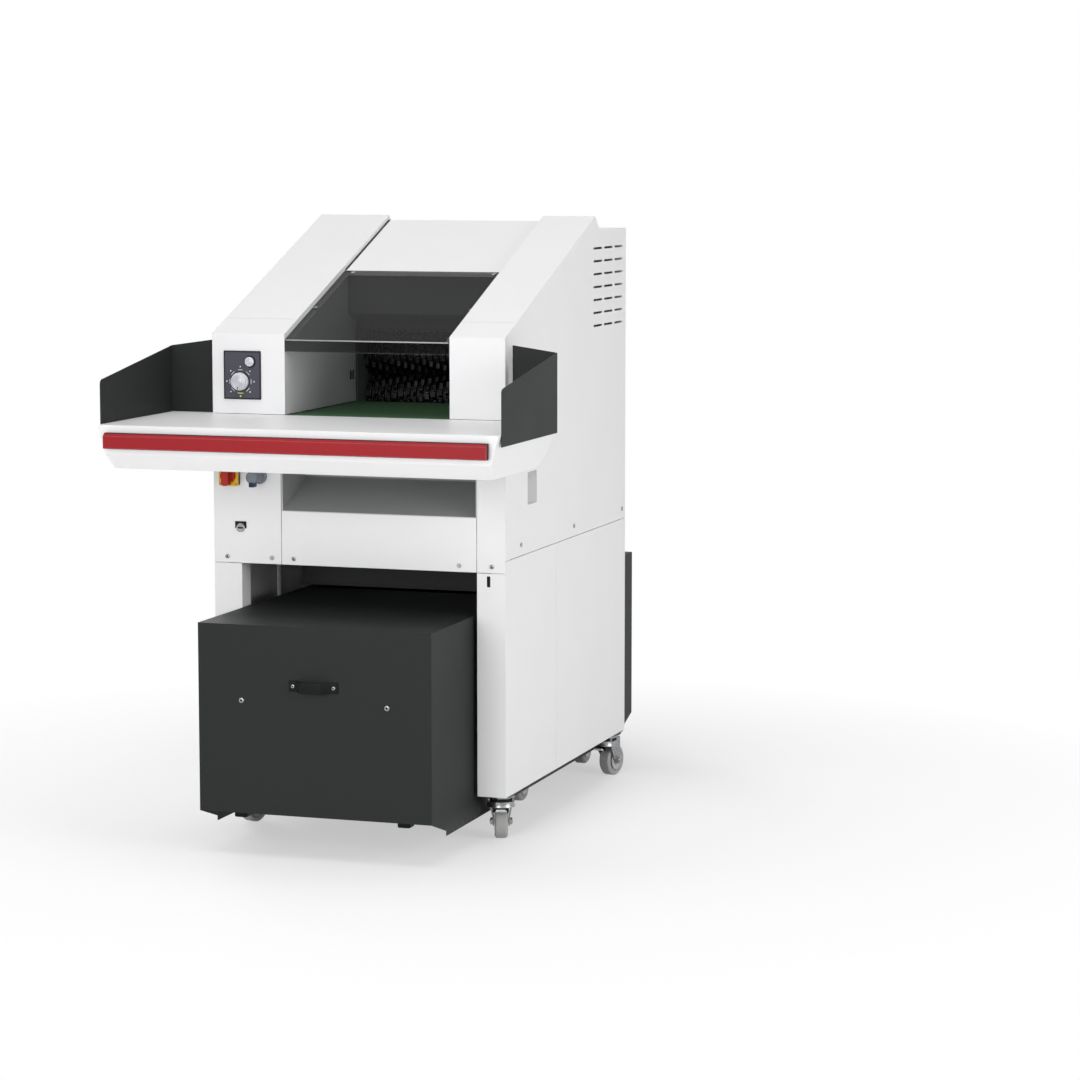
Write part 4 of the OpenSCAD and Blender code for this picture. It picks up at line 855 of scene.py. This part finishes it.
NAVY = moulded("inlet_navy", rgb(34, 36, 66), 0.35)
INLET_RADIUS = 15 * MM
inlet_low, inlet_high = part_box("power_inlet")
inlet_place = Vector(((inlet_low.x + inlet_high.x) / 2, front_y, middle("switch_plate").z))
inlet_l = front_y - inlet_low.y
profile = [(1.5, -2.5 * MM), (1.5, 4 * MM), (1.42, 6 * MM), (1.12, 7 * MM), (1.08, 12 * MM), (1.0, 13 * MM),
           (1.0, inlet_l * 0.36), (1.05, inlet_l * 0.38), (1.05, inlet_l * 0.44), (1.0, inlet_l * 0.46),
           (1.0, inlet_l * 0.86), (1.14, inlet_l * 0.87), (1.14, inlet_l * 0.97), (1.08, inlet_l),
           (0.92, inlet_l), (0.88, inlet_l - 1.5 * MM), (0.5, inlet_l - 0.6 * MM), (0.04, inlet_l)]
rings = spun([(INLET_RADIUS * reach, height) for reach, height in profile])
inlet = lofted("inlet_body", moved(rings, facing(inlet_place)), INLET_GREY, "machine", 25)
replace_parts(inlet, "power_inlet")
CLIP_W, CLIP_H, CLIP_L = 15 * MM, 13 * MM, 21 * MM
clip = [rounded_ring(CLIP_W * share, CLIP_H * share, 2 * MM, depth)
        for share, depth in ((0.85, 1 * MM), (1, 0), (1, -CLIP_L), (0.85, -CLIP_L - 1 * MM))]
clip_place = inlet_place + Vector((0, -inlet_l, -INLET_RADIUS * 1.05 - CLIP_H / 2 + 2 * MM))
lofted("inlet_clip", moved(clip, facing(clip_place)), NAVY, "machine")
print("inlet body and clip, reach", round(inlet_l / MM), "mm")

# %% [markdown]
# ## Screen, shade strips and throat
# Where the acrylic was bent over a hot wire its edge is round and catches the light as one bright
# line: a slim light grey bead follows it and paints that line as a painted highlight. Black strips
# in the joint between the hood and the wings are painted shade for the gap there. Two dark windows
# in each throat wall belong to the light barrier that sees the paper.

# %% Painted highlight along the bend
BEAD = 2.0 * MM
# A light grey bead along the bend stands for its bright line: a painted highlight.
BEND_HIGHLIGHT = moulded("clear_bend", rgb(150, 151, 152), 0.12, gloss=0.6)
screen_low, screen_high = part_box("safety_screen")
bend_z = max(co.z for co in mesh_points("safety_screen") if co.y < screen_low.y + 0.5 * MM)


def bead_ring(x, share):
    y, z = screen_low.y + BEAD * 0.6, bend_z - BEAD * 0.6
    return [Vector((x, y + p.x, z + p.y)) for p in circle(BEAD * share, 0, 20)]


bead = [bead_ring(screen_low.x + 2 * MM, 0.4), bead_ring(screen_low.x + 4 * MM, 1),
        bead_ring(screen_high.x - 4 * MM, 1), bead_ring(screen_high.x - 2 * MM, 0.4)]
lofted("screen_bead", bead, BEND_HIGHLIGHT, "machine")
print("bead along the bend at", round(bend_z, 3), "m")

# %% Painted shade at the hood joints, and barrier windows
SHADE_STRIP_W, SHADE_STRIP_H = 4.5 * MM, 2.6 * MM
WINDOW = moulded("barrier_window", rgb(20, 20, 22), 0.2, gloss=0.3)
hood_low, hood_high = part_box("centre_hood")
ridge_y = min(co.y for co in mesh_points("centre_hood") if co.z > hood_high.z - 0.3 * MM)
ridge = Vector((hood_low.x, ridge_y, hood_high.z))
hood_edge = [co for co in mesh_points("centre_hood") if co.x < hood_low.x + 1e-5]
foot = min(hood_edge, key=lambda co: co.y)
along = Vector((0, ridge.y - foot.y, ridge.z - foot.z)).normalized()
rise = Vector((0, -along.z, along.y))
# Black strips along both hood edges are painted shade for the joints.
shade_strips = bmesh.new()
for edge, inward in ((hood_low.x, 1), (hood_high.x, -1)):
    path = [(foot + along * 1 * MM, 0.5), (foot + along * 4 * MM, 1), (ridge - along * 4 * MM, 1),
            (ridge - along * 1 * MM, 0.5)]
    rings = []
    for point, share in path:
        section = rounded_ring(SHADE_STRIP_W, SHADE_STRIP_H * 2 * share, 1.0 * MM * share)
        centre = Vector((edge + inward * (SHADE_STRIP_W / 2 + 0.3 * MM), point.y, point.z))
        rings.append([centre + Vector((q.x, 0, 0)) + rise * q.y for q in section])
    loft(shade_strips, rings)
add_piece("hood_seals", shade_strips, BLACK_PLASTIC, "machine", 30)
WINDOW_W, WINDOW_H, WINDOW_UP, WINDOW_BACKS = 9.5 * MM, 27 * MM, 77 * MM, (40 * MM, 22 * MM)
WALL_SHEET = 2 * MM
windows = bmesh.new()
for node, inward, face in (("left_throat_wall", 1, low("left_throat_wall").x + WALL_SHEET),
                           ("right_throat_wall", -1, high("right_throat_wall").x - WALL_SHEET)):
    for back in WINDOW_BACKS:
        spot = Vector((face, high(node).y - back, low(node).z + WINDOW_UP))
        rings = [[spot + Vector((inward * depth, q.x, q.y)) for q in rounded_ring(wide, tall, 2.5 * MM)]
                 for wide, tall, depth in ((WINDOW_W, WINDOW_H, -0.5 * MM), (WINDOW_W, WINDOW_H, 0.5 * MM),
                                           (WINDOW_W - 0.8 * MM, WINDOW_H - 1 * MM, 0.9 * MM))]
        loft(windows, rings)
add_piece("barrier_windows", windows, WINDOW, "machine", 30)
print("two seals of", round((ridge - foot).length, 3), "m and four windows")

# %% [markdown]
# ## Rail of the stop bar
# The red bar is a soft profile clipped on a black rail. The rail shows as a dark line above the bar
# and at its ends, so it is a slim block that wraps the rear half of the bar and slides with it.

# %% Bar rail
RAIL_UP = 1.0 * MM
bar_low, bar_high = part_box("stop_bar")
bar_back = max(co.y for co in mesh_points("stop_bar") if abs(co.z - bar_high.z) < 0.3 * MM)
bar_depth = bar_back - bar_low.y
rail_w = bar_high.x - bar_low.x + 2 * RAIL_UP
rail_h = bar_high.z - bar_low.z + 2 * RAIL_UP
rail = [rounded_ring(rail_w - trim, rail_h - trim, 2.5 * MM, depth)
        for trim, depth in ((2 * MM, 0.3 * MM), (0, 1.2 * MM), (0, bar_depth * 0.5),
                            (2 * MM, bar_depth * 0.55))]
rail_place = facing(centred_at("stop_bar", bar_back))
lofted("stop_bar_rail", moved(rail, rail_place), BLACK_PLASTIC, "stop_bar", 30)
print("rail behind a bar of", round(bar_depth / MM, 1), "mm")

# %% [markdown]
# ## Strap handle
# The container is pulled by a black plastic strap that is screwed flat at both ends and bows out
# between them. The strap is a swept section: a rounded rectangle follows a path whose corners are
# eased with short curves.

# %% Strap
def eased(points, ease, steps=8):
    path = [points[0]]
    for before, corner, after in zip(points, points[1:], points[2:]):
        start = corner + (before - corner).normalized() * ease
        end = corner + (after - corner).normalized() * ease
        for step in range(steps + 1):
            t = step / steps
            path.append(start * (1 - t) ** 2 + corner * 2 * t * (1 - t) + end * t ** 2)
    return path + [points[-1]]


def swept_strap(path, thickness, width, corner):
    rings = []
    for i, point in enumerate(path):
        along = (path[min(i + 1, len(path) - 1)] - path[max(i - 1, 0)]).normalized()
        out = Vector((along.y, -along.x, 0))
        section = rounded_ring(thickness, width, corner)
        rings.append([point + out * p.x + Vector((0, 0, p.y)) for p in section])
    return rings


strap_low, strap_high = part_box("container_handle")
strap_mid = (strap_low + strap_high) / 2
STRAP = 4 * MM
PAD = 24 * MM
RAMP = 16 * MM
half = half_width("container_handle")
pad_y = strap_high.y - STRAP / 2
bow_y = strap_low.y + STRAP / 2
corners = [(-half, pad_y), (PAD - half, pad_y), (PAD + RAMP - half, bow_y), (half - PAD - RAMP, bow_y),
           (half - PAD, pad_y), (half, pad_y)]
path = eased([Vector((x, y, strap_mid.z)) for x, y in corners], 7 * MM)
rings = swept_strap(path, STRAP, strap_high.z - strap_low.z, 1.4 * MM)
strap = lofted("handle_strap", rings, BLACK_PLASTIC, "container_body", 30)
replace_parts(strap, "container_handle")
ends = [Vector((side * (half - PAD / 2), strap_high.y - STRAP - 2.6 * MM, strap_mid.z)) for side in (-1, 1)]
screw_set("handle_screws", [(end, FRONT, 5.5 * MM) for end in ends], "container_body", 2.8 * MM)
print("strap handle", round(2 * half / MM), "mm long")

# %% [markdown]
# ## Caster fittings
# Every wheel turns on a bolt with a nut at each end, and its core carries a stepped hub on both
# sides. The joints of the frame tell where each axle is and which way it points, so nuts ride on
# the forks and hubs turn with the wheels.

# %% Nuts and hubs
HUB = moulded("wheel_hub", rgb(186, 187, 188), 0.45, dust=0.3)
CHEEK, NUT_FLAT, NUT_TALL = 23.5 * MM, 17 * MM, 7 * MM
HUB_FACE, HUB_RADIUS = 18 * MM, 29 * MM
joints = frame["record"]["behaviour"]["joints"]


def hex_nut(bm, place, direction, flat, height):
    profile = [(flat * 0.62, 0), (flat * 0.62, 1.2 * MM), (flat / 2, 1.2 * MM, 6),
               (flat / 2, height - 1 * MM, 6), (flat * 0.46, height), (flat * 0.3, height),
               (flat * 0.27, height + 1.5 * MM)]
    loft(bm, moved(spun(profile, 48), facing(place, direction)))


def wheel_hub(bm, place, direction, radius):
    profile = [(radius, -0.5 * MM), (radius, 0.5 * MM), (radius * 0.9, 0.8 * MM), (radius * 0.84, 0.1 * MM),
               (radius * 0.5, 0.1 * MM), (radius * 0.46, 1.0 * MM), (radius * 0.3, 1.0 * MM)]
    loft(bm, moved(spun(profile, 48), facing(place, direction)), True, False)


for joint in joints:
    if "wheel" not in joint["child"] and not joint["child"].endswith(("right_roller", "left_roller")):
        continue
    place, axle = Vector(joint["pos_m"]), Vector(joint["axis"]).normalized()
    short = joint["name"].replace("_spin", "")
    nuts, hubs = bmesh.new(), bmesh.new()
    for way in (-1, 1):
        hex_nut(nuts, place + axle * way * CHEEK, axle * way, NUT_FLAT, NUT_TALL)
        wheel_hub(hubs, place + axle * way * HUB_FACE, axle * way, HUB_RADIUS)
    add_piece(short + "_nuts", nuts, ZINC, joint["parent"], 25)
    add_piece(short + "_hubs", hubs, HUB, joint["child"], 25)
print("nuts and hubs on", sum(1 for joint in joints if joint["child"].endswith("wheel")), "casters")

# %% [markdown]
# ## Brake pedals
# A pressed collar wraps the front of each fork, below a black band that is painted shade for the
# gap under the casing. The brake hangs from it: a bright pedal with an upturned toe, in front of a
# black block that is painted shade for the inside of the fork. The swivel joint and the axle give
# the way each fork points, so that all of it rides on its own fork.

# %% Pedals, collars and painted shade
PEDAL_METAL = bare_metal("pedal_metal", rgb(206, 207, 208), 0.28, (1, 1, 1), 200.0, 0.2)
COLLAR_X, COLLAR_Y, COLLAR_BACK = 35 * MM, 29 * MM, 8 * MM
CROWN = 10 * MM
axle_of = {joint["parent"]: Vector(joint["pos_m"]) for joint in joints if joint["child"].endswith("_wheel")}


def collar_path():
    path = [(COLLAR_X, COLLAR_BACK, 1, 0)]
    for step in range(25):
        turn = math.pi * step / 24
        normal = Vector((math.cos(turn) / COLLAR_X, -math.sin(turn) / COLLAR_Y)).normalized()
        path.append((COLLAR_X * math.cos(turn), -COLLAR_BACK - COLLAR_Y * math.sin(turn), normal.x, normal.y))
    return path + [(-COLLAR_X, COLLAR_BACK, -1, 0)]


def brake(fork, pivot):
    back = ((axle_of[fork] - pivot) * Vector((1, 1, 0))).normalized()
    side = Vector((back.y, -back.x, 0))
    crown = Vector((pivot.x, pivot.y, high(fork).z - CROWN))

    def at(x, y, z):
        return crown + side * x + back * y + Vector((0, 0, z))

    def band(section):
        return [[at(x + nx * out * MM, y + ny * out * MM, z * MM) for out, z in section]
                for x, y, nx, ny in collar_path()]

    def block(steps, corner):
        return [[at(q.x, -y * MM, z * MM + q.y) for q in rounded_ring(wide * MM, tall * MM, corner)]
                for wide, tall, y, z in steps]

    # The band under the collar and the block behind the pedal are black as painted shade.
    gap_shade_band = band([(-2, 0), (0.5, 0), (1, -1), (1, -10), (-2, -10)])
    collar = band([(0, -9), (2, -9), (2.2, -19), (4, -22.5), (4, -24), (1.8, -24), (0, -20)])
    pedal = block([(34, 5, 35, -34), (34, 5, 39, -34), (31, 5, 43, -32.5), (27, 5, 45.5, -29.5)], 1.6 * MM)
    pocket_shade_block = block([(44, 15, 31, -30.5), (44, 15, 35, -30.5), (41, 12, 36.5, -30.5)], 3 * MM)
    for part, rings, finish, slot in (
            ("_shield", gap_shade_band, BLACK_PLASTIC, "black_plastic"), ("_collar", collar, ZINC, "zinc"),
            ("_pedal", pedal, PEDAL_METAL, "zinc"), ("_pad", pocket_shade_block, BLACK_PLASTIC, "black_plastic")):
        lofted(fork + part, rings, finish, fork, 30)


for joint in joints:
    if joint["child"] in axle_of and joint["child"].endswith("_fork"):
        brake(joint["child"], Vector(joint["pos_m"]))
print("brake pedals on", len(axle_of), "forks")

# %% [markdown]
# ## Bearing caps
# Behind the right wing the shafts run in bearings that are closed by bolted caps. They can only
# be seen through the vents and the throat, so a turned cap with four screws is enough.

# %% Caps on the right bearer plate
CAP_BOLTS = 39 * MM
cap_face = high("right_bearer_plate").x
bm = bmesh.new()
spots = []
for shaft in ("upper_cutting_shaft", "lower_cutting_shaft"):
    centre = Vector((cap_face, middle(shaft).y, middle(shaft).z))
    rings = spun([(46 * MM, 0), (46 * MM, 6 * MM), (44 * MM, 8 * MM), (34 * MM, 8 * MM), (30 * MM, 13 * MM),
                  (26 * MM, 14 * MM)])
    loft(bm, moved(rings, facing(centre, (1, 0, 0))))
    for turn in range(4):
        angle = math.pi / 4 + turn * math.pi / 2
        spots.append(centre + Vector((11 * MM, CAP_BOLTS * math.cos(angle), CAP_BOLTS * math.sin(angle))))
add_piece("bearing_caps", bm, PLATE_GREY, "machine")
screw_set("bearing_cap_screws", [(spot, (1, 0, 0), 4.5 * MM) for spot in spots], "machine", 3 * MM)
print("two bearing caps")

# %% [markdown]
# ## Hatch niche and container pads
# The small hatch in the right side opens into a shallow niche of pale sheet. Two rubber pads under
# the front of the container keep its floor off the ground when it is tipped. The niche is a loft
# that goes in along the inner walls and comes back along the outer ones; the pads are short
# tapered blocks.

# %% Niche behind the hatch
NICHE = 40 * MM
SHEET = 1.5 * MM
HATCH_Y, HATCH_Z = (0.16, 0.30), (0.88, 1.04)
cover_x = high("right_side_cover").x
rim_points = [co for co in mesh_points("right_side_cover") if co.x > cover_x - 0.1 * MM
              and HATCH_Y[0] < co.y - front_y < HATCH_Y[1] and HATCH_Z[0] < co.z < HATCH_Z[1]]
hatch_low = Vector(min(co[i] for co in rim_points) for i in range(3))
hatch_high = Vector(max(co[i] for co in rim_points) for i in range(3))
hatch_mid = (hatch_low + hatch_high) / 2
hatch_w, hatch_h = hatch_high.y - hatch_low.y, hatch_high.z - hatch_low.z
mouth_x = cover_x - 2.2 * MM
shell = [(0.5 * MM, mouth_x - NICHE), (0.5 * MM, mouth_x), (2 * SHEET, mouth_x),
         (2 * SHEET, mouth_x - NICHE - SHEET)]
rings = []
for grow, x in shell:
    section = rounded_ring(hatch_w + grow, hatch_h + grow, 2 * MM)
    rings.append([Vector((x, hatch_mid.y + q.x, hatch_mid.z + q.y)) for q in section])
lofted("hatch_niche", rings, CASING, "machine", 30)
print("niche", round(hatch_w / MM), "x", round(hatch_h / MM), "mm")

# %% Pads under the container
PAD_OUT, PAD_BACK, PAD_DROP = 235 * MM, 66 * MM, 22 * MM
PAD_W, PAD_L = 36 * MM, 40 * MM
box_front = low("container").y
box_floor = min(co.z for co in mesh_points("container") if co.y < box_front + 0.5 * MM)
steps = [(0, 0), (0, PAD_DROP - 5 * MM), (1 * MM, PAD_DROP - 1 * MM), (3 * MM, PAD_DROP)]
pad = [rounded_ring(PAD_W - less, PAD_L - less, 5 * MM, depth) for less, depth in steps]
pads = bmesh.new()
for side in (-1, 1):
    pad_place = Vector((side * PAD_OUT, box_front + PAD_BACK, box_floor))
    loft(pads, moved(pad, facing(pad_place, (0, 0, -1))))
add_piece("container_pads", pads, BLACK_PLASTIC, "container_body", 30)
print("pads under the container at", round(box_floor, 3), "m")

# %% [markdown]
# ## Apron in the bay
# A dark folded sheet hangs across the bay just in front of the container's fill opening and keeps
# the shreds from flying out. It ends a little above the container, so that the container can roll
# out below it.

# %% Folded sheet with two screws
APRON_GREY = painted("apron_grey", rgb(73, 74, 74), rgb(90, 90, 90), 0.5, 1600.0, 0.05, gloss=0.15)
APRON_BACK, APRON_LIFT, APRON_TALL = 428 * MM, 7 * MM, 112 * MM
SCREWS_X, SCREWS_UP = (-70 * MM, 66 * MM), 34 * MM
apron_half = high("container").x + 10 * MM
apron_y, apron_z = front_y + APRON_BACK, high("container").z + APRON_LIFT
fold = [(7, 0), (0, 16), (0, APRON_TALL / MM), (2, APRON_TALL / MM), (2, 16.5), (9, 0.8)]
rings = [[Vector((x, apron_y + y * MM, apron_z + z * MM)) for y, z in fold]
         for x in (-apron_half, apron_half)]
lofted("bay_apron", rings, APRON_GREY, "machine", 25)
apron_spots = [Vector((x, apron_y, apron_z + SCREWS_UP)) for x in SCREWS_X]
screw_set("bay_apron_screws", [(spot, FRONT, 5 * MM) for spot in apron_spots], "machine", 2.5 * MM)
print("apron", round(2 * apron_half / MM), "mm wide")

# %% [markdown]
# ## Rear panel screws
# The rear panel hangs on the frame by six screws, three down each side. They are the same domed
# heads as on the covers.

# %% Screws at the back
INSET = 16 * MM
back_low, back_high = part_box("rear_panel")
back_spots = [Vector((x, back_high.y + 1.8 * MM, back_low.z + (back_high.z - back_low.z) * share))
              for x in (back_low.x + INSET, back_high.x - INSET) for share in (0.05, 0.5, 0.95)]
screw_set("rear_panel_screws", [(spot, (0, 1, 0), 5.0 * MM) for spot in back_spots], "machine", 2.2 * MM)
